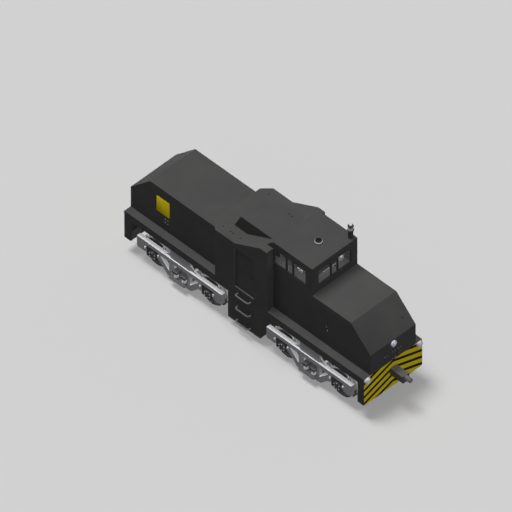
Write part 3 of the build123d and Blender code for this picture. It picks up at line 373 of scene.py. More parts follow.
def turned(profile, sides=48, ring=False):
    """A piece turned about its own Z axis; each row of the profile is a radius and a height.

    A ring's profile closes on its first row; any other piece is closed by flat ends.
    """
    mesh = bmesh.new()
    rings = []
    for radius, height in profile:
        if radius < 1e-6:
            rings.append([mesh.verts.new((0, 0, height))])
            continue
        angles = [2 * pi * k / sides for k in range(sides)]
        rings.append([mesh.verts.new((radius * cos(a), radius * sin(a), height)) for a in angles])
    for lower, upper in zip(rings, rings[1:] + rings[:1] if ring else rings[1:]):
        for k in range(sides):
            corners = [lower[k % len(lower)], lower[(k + 1) % len(lower)],
                       upper[(k + 1) % len(upper)], upper[k % len(upper)]]
            mesh.faces.new(list(dict.fromkeys(corners)))
    for row in (rings[0], rings[-1]):
        if len(row) > 1 and not ring:
            mesh.faces.new(row)
    bmesh.ops.recalc_face_normals(mesh, faces=mesh.faces[:])
    return mesh


def disc(radius, height, sides):
    """A plain round plate or pin, standing on its own XY plane."""
    return turned(((0, 0), (radius, 0), (radius, height), (0, height)), sides)


def plate(points, thickness, edge=1.5 * MM, holes=()):
    """A flat plate cut to an outline, with its lower face on its own XY plane."""
    mesh = bmesh.new()
    loops = [[mesh.verts.new((x, y, 0)) for x, y in loop] for loop in (points, *holes)]
    edges = [mesh.edges.new((a, b)) for loop in loops for a, b in zip(loop, loop[1:] + loop[:1])]
    bmesh.ops.triangle_fill(mesh, use_beauty=True, edges=edges)
    bmesh.ops.dissolve_limit(mesh, angle_limit=radians(1), verts=mesh.verts, edges=mesh.edges)
    raised = bmesh.ops.extrude_face_region(mesh, geom=mesh.faces[:])["geom"]
    lifted = [v for v in raised if isinstance(v, bmesh.types.BMVert)]
    bmesh.ops.translate(mesh, verts=lifted, vec=(0, 0, thickness))
    bmesh.ops.recalc_face_normals(mesh, faces=mesh.faces[:])
    if edge:
        top = [e for e in mesh.edges if all(v.co.z > thickness / 2 for v in e.verts)
               and abs(e.calc_face_angle(0)) > 0.5]
        bmesh.ops.bevel(mesh, geom=top, offset=edge, segments=2, profile=0.5, affect="EDGES")
    return mesh


def rounded(width, height, corner, steps=5):
    """The outline of a rectangle with round corners, about the origin."""
    points = []
    for sx, sy, first in ((1, 1, 0), (-1, 1, 90), (-1, -1, 180), (1, -1, 270)):
        middle = (sx * (width / 2 - corner), sy * (height / 2 - corner))
        for k in range(steps + 1):
            angle = radians(first + 90 * k / steps)
            points.append((middle[0] + corner * cos(angle), middle[1] + corner * sin(angle)))
    return points


def pipe(path, radius, sides=12):
    """A round bar along a path of points, closed at its ends."""
    mesh = bmesh.new()
    rings = []
    side = None
    for k, point in enumerate(path):
        ahead = (path[min(k + 1, len(path) - 1)] - path[max(k - 1, 0)]).normalized()
        if side is None:
            side = ahead.orthogonal().normalized()
        side = (side - ahead * side.dot(ahead)).normalized()
        over = ahead.cross(side)
        angles = [2 * pi * j / sides for j in range(sides)]
        rings.append([mesh.verts.new(point + radius * (cos(a) * side + sin(a) * over)) for a in angles])
    for lower, upper in zip(rings, rings[1:]):
        for j in range(sides):
            mesh.faces.new((lower[j], lower[(j + 1) % sides], upper[(j + 1) % sides], upper[j]))
    mesh.faces.new(rings[0])
    mesh.faces.new(rings[-1])
    bmesh.ops.recalc_face_normals(mesh, faces=mesh.faces[:])
    return mesh


def coil(radius, wire, height, turns):
    """A helical spring on its own Z axis, with its end turns laid flat."""
    steps = 20
    total = round(turns * steps)
    flat = 0.9 / turns
    path = []
    for k in range(total + 1):
        angle = 2 * pi * k / steps
        rise = min(max((k / total - flat) / (1 - 2 * flat), 0.0), 1.0)
        path.append(Vector((radius * cos(angle), radius * sin(angle), wire + (height - 2 * wire) * rise)))
    return pipe(path, wire, 10)


def hex_bolt(across, height):
    """A chamfered hexagon head on a washer, standing on its own XY plane."""
    corner = across / 2 / cos(pi / 6)
    seat = height * 0.16
    head = turned(((0, seat), (corner, seat), (corner, height * 0.86), (corner * 0.86, height),
                   (0, height)), 6)
    return joined([disc(across * 0.72, seat, 20), head])


def button(radius, height):
    """A round-headed bolt or stud, standing on its own XY plane."""
    rows = [(radius * cos(a), height * sin(a)) for a in (radians(x) for x in (0, 25, 50, 70, 90))]
    return turned(((0, 0), *rows), 16)


def joined(shapes):
    """Several shapes as one."""
    mesh = bmesh.new()
    for shape in shapes:
        spare = bpy.data.meshes.new("spare")
        shape.to_mesh(spare)
        mesh.from_mesh(spare)
        bpy.data.meshes.remove(spare)
        shape.free()
    return mesh


def placed(shape, origin, out=UP):
    """A shape moved to a place, with its Z axis along out."""
    out = Vector(out).normalized()
    side = UP.cross(out) if abs(out.z) < 0.99 else LEFT.copy()
    side.normalize()
    over = out.cross(side)
    axes = Matrix((side, over, out)).transposed().to_4x4()
    bmesh.ops.transform(shape, matrix=Matrix.Translation(origin) @ axes, verts=shape.verts)
    return shape


def linked(name, data):
    """An object with its data, in the scene."""
    thing = bpy.data.objects.new(name, data)
    scene.collection.objects.link(thing)
    return thing


def piece(name, body, material, shapes, slot, *stands_for):
    """One named piece from its shapes: shaded smooth up to 35 degrees and riding on its body.

    stands_for are the names of the nodes that it replaces.
    """
    mesh = joined(shapes)
    for face in mesh.faces:
        face.smooth = True
    for edge in mesh.edges:
        edge.smooth = len(edge.link_faces) == 2 and edge.calc_face_angle(0) < radians(35)
    data = bpy.data.meshes.new(name)
    mesh.to_mesh(data)
    mesh.free()
    data.materials.append(material)
    thing = linked(name, data)
    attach(thing, body)
    if stands_for:
        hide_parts(*stands_for)


def finished(names, material, edge=0.0):
    """Gives CAD nodes their finish, and rounds their edges by some metres.

    Flat faces are made whole first, so that only true edges are rounded.
    """
    for name in names:
        thing = nodes[name]
        for entry in thing.material_slots:
            entry.material = material
        if edge:
            weld = thing.modifiers.new("weld", "WELD")
            weld.merge_threshold = 0.02 * MM
            flat = thing.modifiers.new("flat", "DECIMATE")
            flat.decimate_type = "DISSOLVE"
            flat.angle_limit = radians(0.5)
            bevel = thing.modifiers.new("bevel", "BEVEL")
            bevel.width = edge
            bevel.segments = 2
            bevel.limit_method = "ANGLE"
            bevel.angle_limit = radians(40)
            bevel.harden_normals = True
            bevel.use_clamp_overlap = True


# Finishes of the carried-over nodes
body_nodes = ("underframe", "fuel_tank", "rear_hood", "front_hood", "cab_side_right", "cab_side_left",
              "door_right", "door_left", "cab_rear", "cab_roof", "top_roof", "window_wall_right",
              "window_wall_left", "window_wall_front")
finished(body_nodes, charcoal, 4 * MM)
finished(("front_pilot", "rear_pilot"), banded, 4 * MM)
finished(("step_rungs",), rung_grey)
finished(("engine",), engine_green, 8 * MM)
finished(("cab_floor", "driver_platform"), floor_steel, 2 * MM)
finished(("control_desk",), pale_grey, 5 * MM)
finished(("brake_stand",), pale_grey, 2 * MM)
finished(("window_glass",), window_glass)
finished(("lamp_rims",), lamp_white)
finished(("draft_boxes",), cast_steel, 3 * MM)
finished(("drawheads",), worn_steel, 3 * MM)
for end in ("front", "rear"):
    finished((f"{end}_bogie_frame",), light_grey, 3 * MM)
    finished((f"{end}_bogie_bolster", f"{end}_axle_boxes", f"{end}_brakes"), mid_grey, 3 * MM)
    finished((f"{end}_wheelset_inner", f"{end}_wheelset_outer"), wheel_steel)


# Hoods and roofs: blank plates, strips over the end seams, and studs
BLANK_X, BLANK_Z = -3.375, 2.33
BLANK_WIDTH, BLANK_HEIGHT, BLANK_CORNER = 0.5, 0.575, 20 * MM
BLANK_THICKNESS = 4 * MM
SCREW = (6 * MM, 2 * MM)            # radius and height, as for the studs below
SCREW_X, SCREW_Z = 0.225, 0.2625    # from the middle of the plate
blanks = []
screws = []
for side in SIDES:
    out = side * LEFT
    blank = plate(rounded(BLANK_WIDTH, BLANK_HEIGHT, BLANK_CORNER), BLANK_THICKNESS)
    blanks.append(placed(blank, (BLANK_X, side * HOOD_Y, BLANK_Z), out))
    for dx in (-SCREW_X, SCREW_X):
        for dz in (-SCREW_Z, SCREW_Z):
            spot = (BLANK_X + dx, side * (HOOD_Y + BLANK_THICKNESS), BLANK_Z + dz)
            screws.append(placed(button(*SCREW), spot, out))
piece("blank_plates", BODY, yellow, blanks, "body_paint")
piece("blank_plate_screws", BODY, yellow, screws, "body_paint")

STRIP_HEIGHT, STRIP_THICKNESS = 0.478, 6 * MM
STRIP_Z = DECK_Z + 0.241
SEAM_STUD = (13 * MM, 7 * MM)
STUD_INSET = 0.016
HIGH_ROW, LOW_ROW = 1.79, 1.535
# Each strip's edges, counted from the middle of its own end, and the heights of its studs
STRIPS = (
    (-0.34, -0.22, (HIGH_ROW,)),
    (-0.03, 0.09, (HIGH_ROW, LOW_ROW)),
    (0.17, 0.28, (HIGH_ROW,)),
)
strip_shapes = []
light_studs = []
for way in SIDES:
    out = way * FORWARD
    for low_y, high_y, levels in STRIPS:
        width = high_y - low_y
        middle = way * (low_y + high_y) / 2
        strip = plate(rounded(width, STRIP_HEIGHT, 6 * MM), STRIP_THICKNESS)
        strip_shapes.append(placed(strip, (way * END_X, middle, STRIP_Z), out))
        for y in (middle - width / 2 + STUD_INSET, middle + width / 2 - STUD_INSET):
            for z in levels:
                spot = (way * (END_X + STRIP_THICKNESS), y, z)
                light_studs.append(placed(button(*SEAM_STUD), spot, out))
piece("hood_seam_strips", BODY, charcoal, strip_shapes, "body_paint")

SIDE_STUD = (14 * MM, 8 * MM)
# Under the blank plate, and on the front hood
SIDE_STUD_SPOTS = ((-3.29, 1.917), (-3.19, 1.917), (-3.29, 1.792), (-3.19, 1.792),
                   (2.935, 2.168), (2.973, 2.043))
for side in SIDES:
    for x, z in SIDE_STUD_SPOTS:
        light_studs.append(placed(button(*SIDE_STUD), (x, side * HOOD_Y, z), side * LEFT))
piece("light_studs", BODY, zinc, light_studs, "lamp_rim")

# A row at each side of the low roof, two studs on the high roof, one on the front hood's slope
ROOF_STUD = (20 * MM, 9 * MM)
LOW_STUD_X, LOW_STUD_Y = (-1.05, -0.775, -0.665, -0.39), 0.88
HIGH_STUD_X, HIGH_STUD_Y = (0.245, 0.36), 0.373
SLOPE_STUD, SLOPE_OUT = (4.365, 0.615, 2.49), (1, 0, 1)
roof_spots = [(x, side * LOW_STUD_Y, LOW_ROOF_Z) for side in SIDES for x in LOW_STUD_X]
roof_spots += [(x, HIGH_STUD_Y, HIGH_ROOF_Z) for x in HIGH_STUD_X]
# Their near-black colour is painted shade, not a finish of their own.
roof_studs = [placed(button(*ROOF_STUD), spot) for spot in roof_spots]
roof_studs.append(placed(button(*ROOF_STUD), SLOPE_STUD, SLOPE_OUT))
piece("roof_studs", BODY, stud_shade_black, roof_studs, "body_paint")


# Cab: trim round the doorways, window rubbers
DOORWAY_WIDTH, DOORWAY_HEIGHT, DOORWAY_Z = 0.75, 1.5, 2.33
TRIM_IN, TRIM_OUT = 1.091, 1.125
TRIM_FACE = 6 * MM
for side, name in zip(SIDES, ("right", "left")):
    outline = rounded(DOORWAY_WIDTH, DOORWAY_HEIGHT, 2 * MM, 1)
    hole = rounded(DOORWAY_WIDTH - 2 * TRIM_FACE, DOORWAY_HEIGHT - 2 * TRIM_FACE, 2 * MM, 1)
    section = plate(outline, TRIM_OUT - TRIM_IN, 0, (hole,))
    trim = placed(section, (0, side * TRIM_IN, DOORWAY_Z), side * LEFT)
    piece(f"doorway_trim_{name}", BODY, mid_grey, [trim], "body_paint")

PANE_LOW, PANE_HIGH = HIGH_ROOF_Z - 0.5, HIGH_ROOF_Z
GLASS_X, GLASS_Y = 2.353, 0.853
SIDE_PANES = ((0.915, 1.355), (1.395, 1.605), (1.645, 2.125))
FRONT_PANES = ((-0.625, -0.145), (-0.105, 0.105), (0.145, 0.625))
RUBBER_FACE, RUBBER_THICKNESS = 14 * MM, 12 * MM


def pane_rubber(low, high, middle, out):
    """Rubber section round one pane, against its outer face."""
    width, height = high - low, PANE_HIGH - PANE_LOW
    hole = rounded(width - 2 * RUBBER_FACE, height - 2 * RUBBER_FACE, 12 * MM)
    section = plate(rounded(width, height, 4 * MM, 2), RUBBER_THICKNESS, 3 * MM, (hole,))
    return placed(section, (*middle, (PANE_LOW + PANE_HIGH) / 2), out)


rubbers = []
for side in SIDES:
    for low, high in SIDE_PANES:
        rubbers.append(pane_rubber(low, high, ((low + high) / 2, side * GLASS_Y), side * LEFT))
for low, high in FRONT_PANES:
    rubbers.append(pane_rubber(low, high, (GLASS_X, (low + high) / 2), FORWARD))
piece("window_rubbers", BODY, window_rubber, rubbers, "window_glass")


# Driver's place: gauges and levers on the desk, grips on the brake stand
DESK_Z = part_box("control_desk")[1].z
POD_X, POD_Y, POD_Z = 2.0875, 0.45, DESK_Z + 0.0875
POD_LENGTH, POD_WIDTH, POD_HEIGHT = 0.175, 0.1, 0.315
pod = plate(rounded(POD_LENGTH, POD_HEIGHT, 0.04), POD_WIDTH, 6 * MM)
piece("gauge_pod", BODY, pale_grey, [placed(pod, (POD_X, POD_Y, POD_Z), LEFT)], "desk_paint")

# Four large gauges stand 1 mm off the desk's slanted panel, and two small ones on the pod.
PANEL_X, PANEL_Z = 2.0275, DESK_Z - 0.06
PANEL_OUT = Vector((-0.12, 0, 0.165)).normalized()
POD_FACE_X = 2.0
LARGE_DIAL, SMALL_DIAL = 0.04, 0.034
LARGE_DIAL_Y = (0.04, 0.17, 0.3, 0.43)
SMALL_DIAL_Y, SMALL_DIAL_Z = 0.5, (3.175, 3.285)
LARGE_BEZEL = ((LARGE_DIAL, 0), (0.049, 0), (0.049, 8 * MM), (0.045, 11 * MM), (LARGE_DIAL, 9 * MM))
SMALL_BEZEL = ((SMALL_DIAL, 0), (0.041, 0), (0.041, 7 * MM), (0.038, 9 * MM), (SMALL_DIAL, 8 * MM))
gauges = []
for y in LARGE_DIAL_Y:
    spot = Vector((PANEL_X, y, PANEL_Z)) + PANEL_OUT * MM
    gauges.append((LARGE_DIAL, 5 * MM, LARGE_BEZEL, spot, PANEL_OUT))
for z in SMALL_DIAL_Z:
    gauges.append((SMALL_DIAL, 4 * MM, SMALL_BEZEL, (POD_FACE_X, SMALL_DIAL_Y, z), -FORWARD))
dials = []
rings = []
for radius, thickness, bezel, spot, out in gauges:
    dials.append(placed(disc(radius, thickness, 32), spot, out))
    rings.append(placed(turned(bezel, 32, ring=True), spot, out))
piece("dial_faces", BODY, dial_white, dials, "desk_paint")
piece("dial_rings", BODY, bakelite, rings, "desk_paint")

# A base plate, a bent stem and a knob, with three push buttons beside them
LEVER_X, LEVER_Y = 2.19, 0.2
LEVER_PATH = ((LEVER_Y, 0), (0.195, 0.09), (0.185, 0.14))
LEVER_KNOB = ((0, 0), (0.016, 0.003), (0.022, 0.018), (0.02, 0.034), (0.009, 0.044), (0, 0.045))
PUSH_BUTTON, PUSH_BUTTON_Y = (9 * MM, 7 * MM), (0.33, 0.37, 0.41)
lever = [
    placed(block((-0.022, -0.09, 0), (0.022, 0.09, 0.016)), (LEVER_X, LEVER_Y, DESK_Z)),
    pipe([Vector((LEVER_X, y, DESK_Z + up)) for y, up in LEVER_PATH], 7 * MM),
    placed(turned(LEVER_KNOB, 24), (LEVER_X, 0.183, DESK_Z + 0.13)),
]
for y in PUSH_BUTTON_Y:
    lever.append(placed(button(*PUSH_BUTTON), (LEVER_X, y, DESK_Z)))
piece("throttle_lever", BODY, bakelite, lever, "desk_paint")

STAND_X, STAND_Y = 1.6, -0.56
HANDLE_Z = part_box("brake_stand")[1].z
GRIP = ((0, 0), (0.011, 0.002), (0.013, 0.02), (0.013, 0.05), (0.009, 0.062), (0, 0.064))
GRIP_REACH, GRIP_DROP = 0.06, 0.013
grips = []
for way in SIDES:
    spot = (STAND_X + way * GRIP_REACH, STAND_Y, HANDLE_Z - GRIP_DROP)
    grips.append(placed(turned(GRIP, 20), spot, way * FORWARD))
grips.append(placed(hex_bolt(0.024, 0.014), (STAND_X, STAND_Y, HANDLE_Z)))
piece("brake_handle_grips", BODY, bakelite, grips, "desk_paint")


# Driver's seat: stuffed cushions with piping, on a turned pedestal
SEAT_X, SEAT_Y = 1.48, 0.27
SWELL_FRAMES = 20
SEAM_DEPTH, SEAM_REACH = 7 * MM, 14 * MM


def placement(out):
    """Turns a shape so that its Z axis goes along out, in the upright plane of the X axis."""
    out = Vector(out).normalized()
    ahead = LEFT.cross(out).normalized()
    return Matrix((ahead, LEFT, out)).transposed().to_4x4()


def swollen(thing, cap):
    """Where each point of a cushion is after its foam has swollen, by no more than cap."""
    rest = [v.co.copy() for v in thing.data.vertices]
    cloth = thing.modifiers.new("cloth", "CLOTH")
    cloth.settings.quality = 5
    cloth.settings.mass = 0.3
    cloth.settings.use_pressure = True
    cloth.settings.uniform_pressure_force = 4
    cloth.settings.effector_weights.gravity = 0
    cloth.point_cache.frame_start = 1
    cloth.point_cache.frame_end = SWELL_FRAMES
    for number in range(1, SWELL_FRAMES + 1):
        scene.frame_set(number)
    bpy.context.view_layer.update()
    result = thing.evaluated_get(bpy.context.evaluated_depsgraph_get()).data
    moved = [v.co.copy() for v in result.vertices]
    thing.modifiers.clear()
    scene.frame_set(1)
    places = []
    for first, last in zip(rest, moved):
        step = last - first
        if step.length > cap:
            step *= cap / step.length
        places.append(first + step)
    return places


def stuffed(name, outline, thickness, origin, out, cap, channels):
    """A vinyl cushion: its foam swells in a cloth simulation, and seams are drawn in after it.

    outline is its cut shape, origin and out place it, cap is how far a point may swell, and
    channels are the sewn lines across it. The object comes back with the matrix that placed it.
    """
    cut = plate(outline, thickness, 12 * MM)
    data = bpy.data.meshes.new(name)
    cut.to_mesh(data)
    cut.free()
    thing = linked(name, data)
    remesh = thing.modifiers.new("remesh", "REMESH")
    remesh.mode = "VOXEL"
    remesh.voxel_size = 7 * MM
    bpy.context.view_layer.update()
    fine = bpy.data.meshes.new_from_object(thing.evaluated_get(bpy.context.evaluated_depsgraph_get()))
    thing.modifiers.clear()
    thing.data = fine
    for vertex, place in zip(fine.vertices, swollen(thing, cap)):
        vertex.co = place
    low = min(v.co.z for v in fine.vertices)
    high = max(v.co.z for v in fine.vertices)
    for vertex in fine.vertices:
        share = max(0.0, (vertex.co.z - low) / (high - low) * 2 - 1)
        for line in channels:
            apart = abs(vertex.co.x - line)
            vertex.co.z -= SEAM_DEPTH * share * max(0.0, 1 - apart / SEAM_REACH)
    for polygon in fine.polygons:
        polygon.use_smooth = True
    matrix = Matrix.Translation(origin) @ placement(out)
    fine.transform(matrix)
    thing.modifiers.new("smooth", "SUBSURF").levels = 1
    fine.materials.clear()
    fine.materials.append(vinyl)
    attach(thing, BODY)
    return thing, matrix


def welt(name, outline, height, matrix):
    """Piping sewn round a cushion, on the seam between its top and its side."""
    path = [matrix @ Vector((x, y, height)) for x, y in outline]
    piece(name, BODY, vinyl, [pipe(path + path[:2], 4 * MM, 8)], "seat_vinyl")


CUSHION_SPOT = (SEAT_X, SEAT_Y, PLATFORM_Z + 0.41)
cushion, cushion_matrix = stuffed("seat_cushion", rounded(0.416, 0.416, 0.06), 0.066, CUSHION_SPOT,
                                  UP, 10 * MM, (-0.07, 0.07))
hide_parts("driver_seat")
welt("seat_cushion_piping", rounded(0.432, 0.432, 0.066, 8), 0.052, cushion_matrix)
BACK_SPOT, BACK_OUT = (SEAT_X - 0.244, SEAT_Y, PLATFORM_Z + 0.725), (0.55, 0, 0.07)
_, back_matrix = stuffed("seat_backrest", rounded(0.52, 0.376, 0.06), 0.052, BACK_SPOT,
                         BACK_OUT, 8 * MM, (-0.09, 0.09))
welt("seat_backrest_piping", rounded(0.532, 0.39, 0.064, 8), 0.042, back_matrix)

# Flange, column with a bellows of three folds, and the head that carries the seat plate
PEDESTAL = ((0, 0), (0.15, 0), (0.15, 0.012), (0.13, 0.02), (0.07, 0.026), (0.048, 0.05),
            (0.045, 0.08), (0.045, 0.14), (0.055, 0.15), (0.045, 0.165), (0.055, 0.18),
            (0.045, 0.195), (0.055, 0.21), (0.045, 0.225), (0.045, 0.33), (0.06, 0.35),
            (0.06, 0.37), (0, 0.37))
# The bars behind the backrest: how far ahead of the pedestal and above the platform
BACK_BAR = ((-0.12, 0.385), (-0.22, 0.39), (-0.25, 0.42), (-0.262, 0.6), (-0.28, 0.8))
BACK_BAR_Y = 0.12
FLANGE_CIRCLE = 0.12    # of the bolts
FLANGE_TOP, SEAT_PLATE_FOOT = PLATFORM_Z + 0.016, PLATFORM_Z + 0.378
pedestal = [
    placed(turned(PEDESTAL, 40), (SEAT_X, SEAT_Y, PLATFORM_Z)),
    placed(plate(rounded(0.4, 0.4, 0.05), 0.03, 4 * MM), (SEAT_X, SEAT_Y, SEAT_PLATE_FOOT)),
]
for way in SIDES:
    bar_y = SEAT_Y + way * BACK_BAR_Y
    path = [Vector((SEAT_X + ahead, bar_y, PLATFORM_Z + up)) for ahead, up in BACK_BAR]
    pedestal.append(pipe(path, 10 * MM))
for k in range(4):
    angle = radians(45 + 90 * k)
    spot = (SEAT_X + FLANGE_CIRCLE * cos(angle), SEAT_Y + FLANGE_CIRCLE * sin(angle), FLANGE_TOP)
    pedestal.append(placed(hex_bolt(0.02, 0.012), spot))
piece("seat_pedestal", BODY, mid_grey, pedestal, "desk_paint")


# Lamps: fluted lenses inside the rims
LAMP_Z, MARKER_Z, MARKER_Y = 2.11, 1.38, 1.0
LENS_RADIUS = 0.0875
FLUTES, FLUTE_SPACING = 6, 0.0125
lens_profile = [(0, 0), (LENS_RADIUS, 0), (LENS_RADIUS, 0.05), (0.085, 0.058)]
for flute in range(FLUTES):
    outer = 0.082 - flute * FLUTE_SPACING
    dome = 0.074 - 0.016 * (outer / LENS_RADIUS) ** 2
    lens_profile += [(outer, dome), (outer - 0.005, dome + 0.0005), (outer - 0.009, dome - 0.003)]
lens_profile.append((0, 0.0735))
lenses = []
for way in SIDES:
    for y, z in ((0, LAMP_Z), (-MARKER_Y, MARKER_Z), (MARKER_Y, MARKER_Z)):
        lenses.append(placed(turned(lens_profile, 56), (way * END_X, y, z), way * FORWARD))
piece("lamp_lenses", BODY, lamp_glass, lenses, "lamp_lens", "lamps")


# Beacon: dark housing with a bright button on top, ribbed lens
BEACON = (2.2375, 0.75, ROOF_Z)
STEM = ((0, 0), (0.08, 0), (0.08, 0.012), (0.076, 0.016), (0.074, 0.03), (0.074, 0.24),
        (0.078, 0.25), (0.08, 0.274), (0, 0.274))
COLLAR = ((0, 0.274), (0.092, 0.274), (0.095, 0.278), (0.095, 0.296), (0.091, 0.3),
          (0.074, 0.301), (0, 0.301))
CAP = ((0, 0.41), (0.083, 0.41), (0.085, 0.414), (0.085, 0.45), (0.08, 0.455), (0, 0.455))
CROWN = ((0, 0.454), (0.06, 0.454), (0.06, 0.475), (0.056, 0.48), (0, 0.48))
TOP_BUTTON = ((0, 0.48), (0.042, 0.48), (0.042, 0.49), (0.034, 0.498), (0, 0.5))
LENS_FOOT, LENS_TOP = 0.3, 0.41
LENS_RIBS, RIB_SPACING = 10, 11 * MM
RIB_ROOT, RIB_TIP = 0.0665, 0.07
housing = [placed(turned(STEM), BEACON), placed(turned(CAP), BEACON)]
piece("beacon_housing", BODY, charcoal, housing, "lamp_rim", "beacon")
piece("beacon_collar", BODY, charcoal, [placed(turned(COLLAR), BEACON)], "lamp_rim")
piece("beacon_crown", BODY, charcoal, [placed(turned(CROWN), BEACON)], "lamp_rim")
piece("beacon_top_button", BODY, bright_ring, [placed(turned(TOP_BUTTON), BEACON)], "lamp_rim")
lens_rows = [(0, LENS_FOOT)]
for rib in range(LENS_RIBS):
    foot = LENS_FOOT + rib * RIB_SPACING
    lens_rows += [(RIB_ROOT, foot), (RIB_TIP, foot + 0.0035), (RIB_TIP, foot + 0.0075)]
lens_rows += [(RIB_ROOT, LENS_TOP), (0, LENS_TOP)]
beacon_lens = placed(turned(lens_rows), BEACON)
piece("beacon_ribbed_lens", BODY, beacon_glass, [beacon_lens], "beacon_lens", "beacon_lens")


# Roof ventilator: bright rim, dark well with a shallow fan screen
VENT = (1.75, 0, ROOF_Z)
LIP = ((0.1, 0.054), (0.1, 0.06), (0.11, 0.048), (0.11, 0.018))
SLEEVE = ((0.095, 0.012), (0.095, 0.059), (0.1, 0.059), (0.11, 0.018), (0.11, 0))
SCREEN_FOOT, SCREEN_MIDDLE, SCREEN_TOP = 0.012, 0.0125, 0.0145
WELL_FLOOR = ((0, 0), (0.108, 0), (0.108, SCREEN_MIDDLE), (0.02, SCREEN_MIDDLE),
              (0.018, SCREEN_TOP), (0, SCREEN_TOP))
WIRE = 2 * MM    # half the width of a ring of the screen
RAY_LENGTH = 0.092
screen = [placed(turned(WELL_FLOOR), VENT)]
for radius in (0.04, 0.06, 0.08):
    wire_ring = ((radius - WIRE, SCREEN_FOOT), (radius - WIRE, SCREEN_TOP),
                 (radius + WIRE, SCREEN_TOP), (radius + WIRE, SCREEN_FOOT))
    screen.append(placed(turned(wire_ring, ring=True), VENT))
for k in range(4):
    angle = radians(45 * k)
    ray = Vector((cos(angle), sin(angle), 0)) * RAY_LENGTH
    centre = Vector(VENT) + UP * SCREEN_MIDDLE
    screen.append(pipe([centre - ray, centre + ray], 1.8 * MM, 6))
screen.append(placed(turned(SLEEVE, ring=True), VENT))
piece("vent_lip", BODY, bright_ring, [placed(turned(LIP, ring=True), VENT)], "vent_metal", "roof_vent")
piece("vent_sleeve_and_screen", BODY, bakelite, screen, "vent_metal")


# Coupling gear: bolts on the draft boxes
DRAFT_X, DRAFT_BOLT_Y, DRAFT_BOLT_Z = 5.125, (-0.1, 0.1), (1.01, 1.2)
DRAFT_BOLT = (0.022, 0.014)    # across the flats, and height
draft_bolts = []
for way in SIDES:
    for y in DRAFT_BOLT_Y:
        for z in DRAFT_BOLT_Z:
            draft_bolts.append(placed(hex_bolt(*DRAFT_BOLT), (way * DRAFT_X, y, z), way * FORWARD))
piece("draft_box_bolts", BODY, black_bolt, draft_bolts, "cast_steel")


# Bogies: coil springs on a plank, keeper plates, bolts and pins
SPRING_X, SPRING_Y = 0.15, 1.085
PLANK_X, PLANK_Y = 0.295, 1.245
PLANK_FOOT, PLANK_TOP, SPRING_TOP = 0.28, 0.305, 0.46
SPRING_HEIGHT = SPRING_TOP - PLANK_TOP
COIL_RADIUS, COIL_WIRE, COIL_TURNS = 0.0575, 14 * MM, 3.6
CORE_RADIUS = 0.03
SPRING_SEAT = ((0, 0), (0.082, 0), (0.082, 4 * MM), (0.078, 6 * MM), (0, 6 * MM))
KEEPER_X, KEEPER_Z = 0.25, 0.63
KEEPER_WIDTH, KEEPER_HEIGHT, KEEPER_THICKNESS = 0.06, 0.1, 22 * MM
KEEPER_BOLT, BOX_BOLT = (0.026, 0.016), (0.024, 0.014)
# Circle of the bolts round an axle, and the outer face of its box
BOX_CIRCLE, BOX_Y = 0.105, 1.118
HANGER_X, HANGER_Y, HANGER_Z = 0.33, 0.94, 0.93
PIN_RADIUS, PIN_LENGTH = 13 * MM, 30 * MM
for end, way in (("front", 1), ("rear", -1)):
    body = f"{end}_bogie"
    centre = way * BOGIE_X
    feet = [(centre + dx, side * SPRING_Y, PLANK_TOP) for dx in (-SPRING_X, SPRING_X) for side in SIDES]
    coils = []
    for foot in feet:
        coils.append(placed(coil(COIL_RADIUS, COIL_WIRE, SPRING_HEIGHT, COIL_TURNS), foot))
        coils.append(placed(disc(CORE_RADIUS, SPRING_HEIGHT, 20), foot))
    piece(f"{end}_bogie_coil_springs", body, spring_steel, coils, "spring_steel", f"{end}_bogie_springs")
    low = (centre - PLANK_X, -PLANK_Y, PLANK_FOOT)
    high = (centre + PLANK_X, PLANK_Y, PLANK_TOP)
    plank = [block(low, high, 3 * MM)]
    for foot in feet:
        plank.append(placed(turned(SPRING_SEAT, 32), foot))
    piece(f"{end}_bogie_spring_plank", body, mid_grey, plank, "bogie_dark")
    keepers = []
    bolts = []
    pins = []
    for axle in (centre - AXLE_X, centre + AXLE_X):
        for side in SIDES:
            out = side * LEFT
            for dx in (-KEEPER_X, KEEPER_X):
                outline = rounded(KEEPER_WIDTH, KEEPER_HEIGHT, 12 * MM)
                keeper = plate(outline, KEEPER_THICKNESS, 4 * MM)
                keepers.append(placed(keeper, (axle + dx, side * FRAME_Y, KEEPER_Z), out))
                spot = (axle + dx, side * (FRAME_Y + KEEPER_THICKNESS), KEEPER_Z)
                bolts.append(placed(hex_bolt(*KEEPER_BOLT), spot, out))
            for k in range(6):
                angle = radians(60 * k + 30)
                spot = (axle + BOX_CIRCLE * cos(angle), side * BOX_Y, AXLE_Z + BOX_CIRCLE * sin(angle))
                bolts.append(placed(hex_bolt(*BOX_BOLT), spot, out))
            for dx in (-HANGER_X, HANGER_X):
                pin = disc(PIN_RADIUS, PIN_LENGTH, 20)
                pins.append(placed(pin, (axle + dx, side * HANGER_Y, HANGER_Z), out))
    piece(f"{end}_bogie_keeper_plates", body, light_grey, keepers, "bogie_paint")
    piece(f"{end}_bogie_bolts", body, zinc, bolts, "bogie_dark")
    piece(f"{end}_bogie_hanger_pins", body, zinc, pins, "brake_iron")


# Floor and world
FLOOR_TONE = "#d2d2d2"
DIM_TONE = "#545454"
FLOOR_REACH = 60.0    # from the middle to each side
WORLD_LIGHT = 0.1


def background_rays(tree):
    """1 on rays by which the camera, a reflection or glass shows the background, else 0."""
    share = add(tree, "LightPath", out="Is Camera Ray")
    for ray in ("Is Glossy Ray", "Is Transmission Ray"):
        other = add(tree, "LightPath", out=ray)
        share = add(tree, "Math", {0: share, 1: other}, operation="MAXIMUM")
    return share


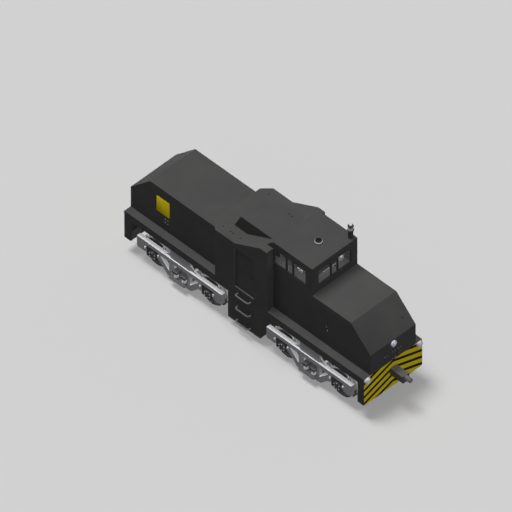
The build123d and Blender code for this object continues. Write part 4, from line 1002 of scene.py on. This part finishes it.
# The floor shows pale, and throws as little light on the underside as a dim one.
floor_finish, tree, shader, _ = start("matt_floor_paper", 0.9, level=0.0)
seen = background_rays(tree)
tone = add(tree, "Mix", {0: seen, 6: linear(DIM_TONE), 7: linear(FLOOR_TONE)}, 2, data_type="RGBA")
tree.links.new(tone, shader.inputs["Base Color"])
floor_mesh = bmesh.new()
bmesh.ops.create_grid(floor_mesh, x_segments=1, y_segments=1, size=FLOOR_REACH)
floor_data = bpy.data.meshes.new("floor")
floor_mesh.to_mesh(floor_data)
floor_mesh.free()
floor_data.materials.append(floor_finish)
floor = linked("floor", floor_data)

# The world is a dim even light, and has the floor's tone where it shows past the floor.
world = bpy.data.worlds.new("studio")
scene.world = world
world.use_nodes = True
tree = world.node_tree
seen = background_rays(tree)
dim = (WORLD_LIGHT, WORLD_LIGHT, WORLD_LIGHT, 1)
sky = add(tree, "Mix", {0: seen, 6: dim, 7: linear(FLOOR_TONE)}, 2, data_type="RGBA")
tree.links.new(sky, tree.nodes["Background"].inputs["Color"])


# Light
def sun(name, towards, strength, spread, shadow):
    """A distant lamp that shines from a direction, as a key with shadows or as a fill without."""
    data = bpy.data.lights.new(name, "SUN")
    data.energy = strength
    data.angle = radians(spread)
    data.use_shadow = shadow
    lamp = linked(name, data)
    lamp.rotation_euler = Vector(towards).to_track_quat("Z", "Y").to_euler()


# The photo has no shadows, so part of the light from above is a fill that reaches the bogies. The
# key keeps the shadow on the floor.
OVERHEAD = (-0.25, -0.09, 0.95)
sun("overhead_key", OVERHEAD, 1.6, 22, True)
sun("overhead_fill", OVERHEAD, 1.27, 22, False)
sun("front_fill", (1, 0, 0.05), 0.48, 10, False)
# The left-hand side, which the photo doesn't show, is lit as plainly as the right-hand one.
sun("left_fill", (0, 1, 0), 0.27, 10, False)

# A soft lamp under the cab's roof, so that the window ledges are lit about as plainly as the outside
cab_data = bpy.data.lights.new("cab_ceiling", "AREA")
cab_data.shape = "RECTANGLE"
cab_data.size = 1.2
cab_data.size_y = 1.4
cab_data.energy = 8
cab_lamp = linked("cab_ceiling", cab_data)
cab_lamp.location = (1.62, 0, 3.9)


# Camera: without perspective, from the front right-hand corner and 45 degrees up, as in the photo
BACK = Vector((0.5, -0.5, 0.5 ** 0.5))
AIM = Vector((-0.845, 0.18, 1.48))
PICTURE_WIDTH = 13.97
DISTANCE = 30
camera_data = bpy.data.cameras.new("camera")
camera_data.type = "ORTHO"
camera_data.ortho_scale = PICTURE_WIDTH
camera_data.clip_end = 200
camera = linked("camera", camera_data)
camera.location = AIM + BACK * DISTANCE
camera.rotation_euler = (-BACK).to_track_quat("-Z", "Y").to_euler()
scene.camera = camera
scene.view_settings.view_transform = "Standard"
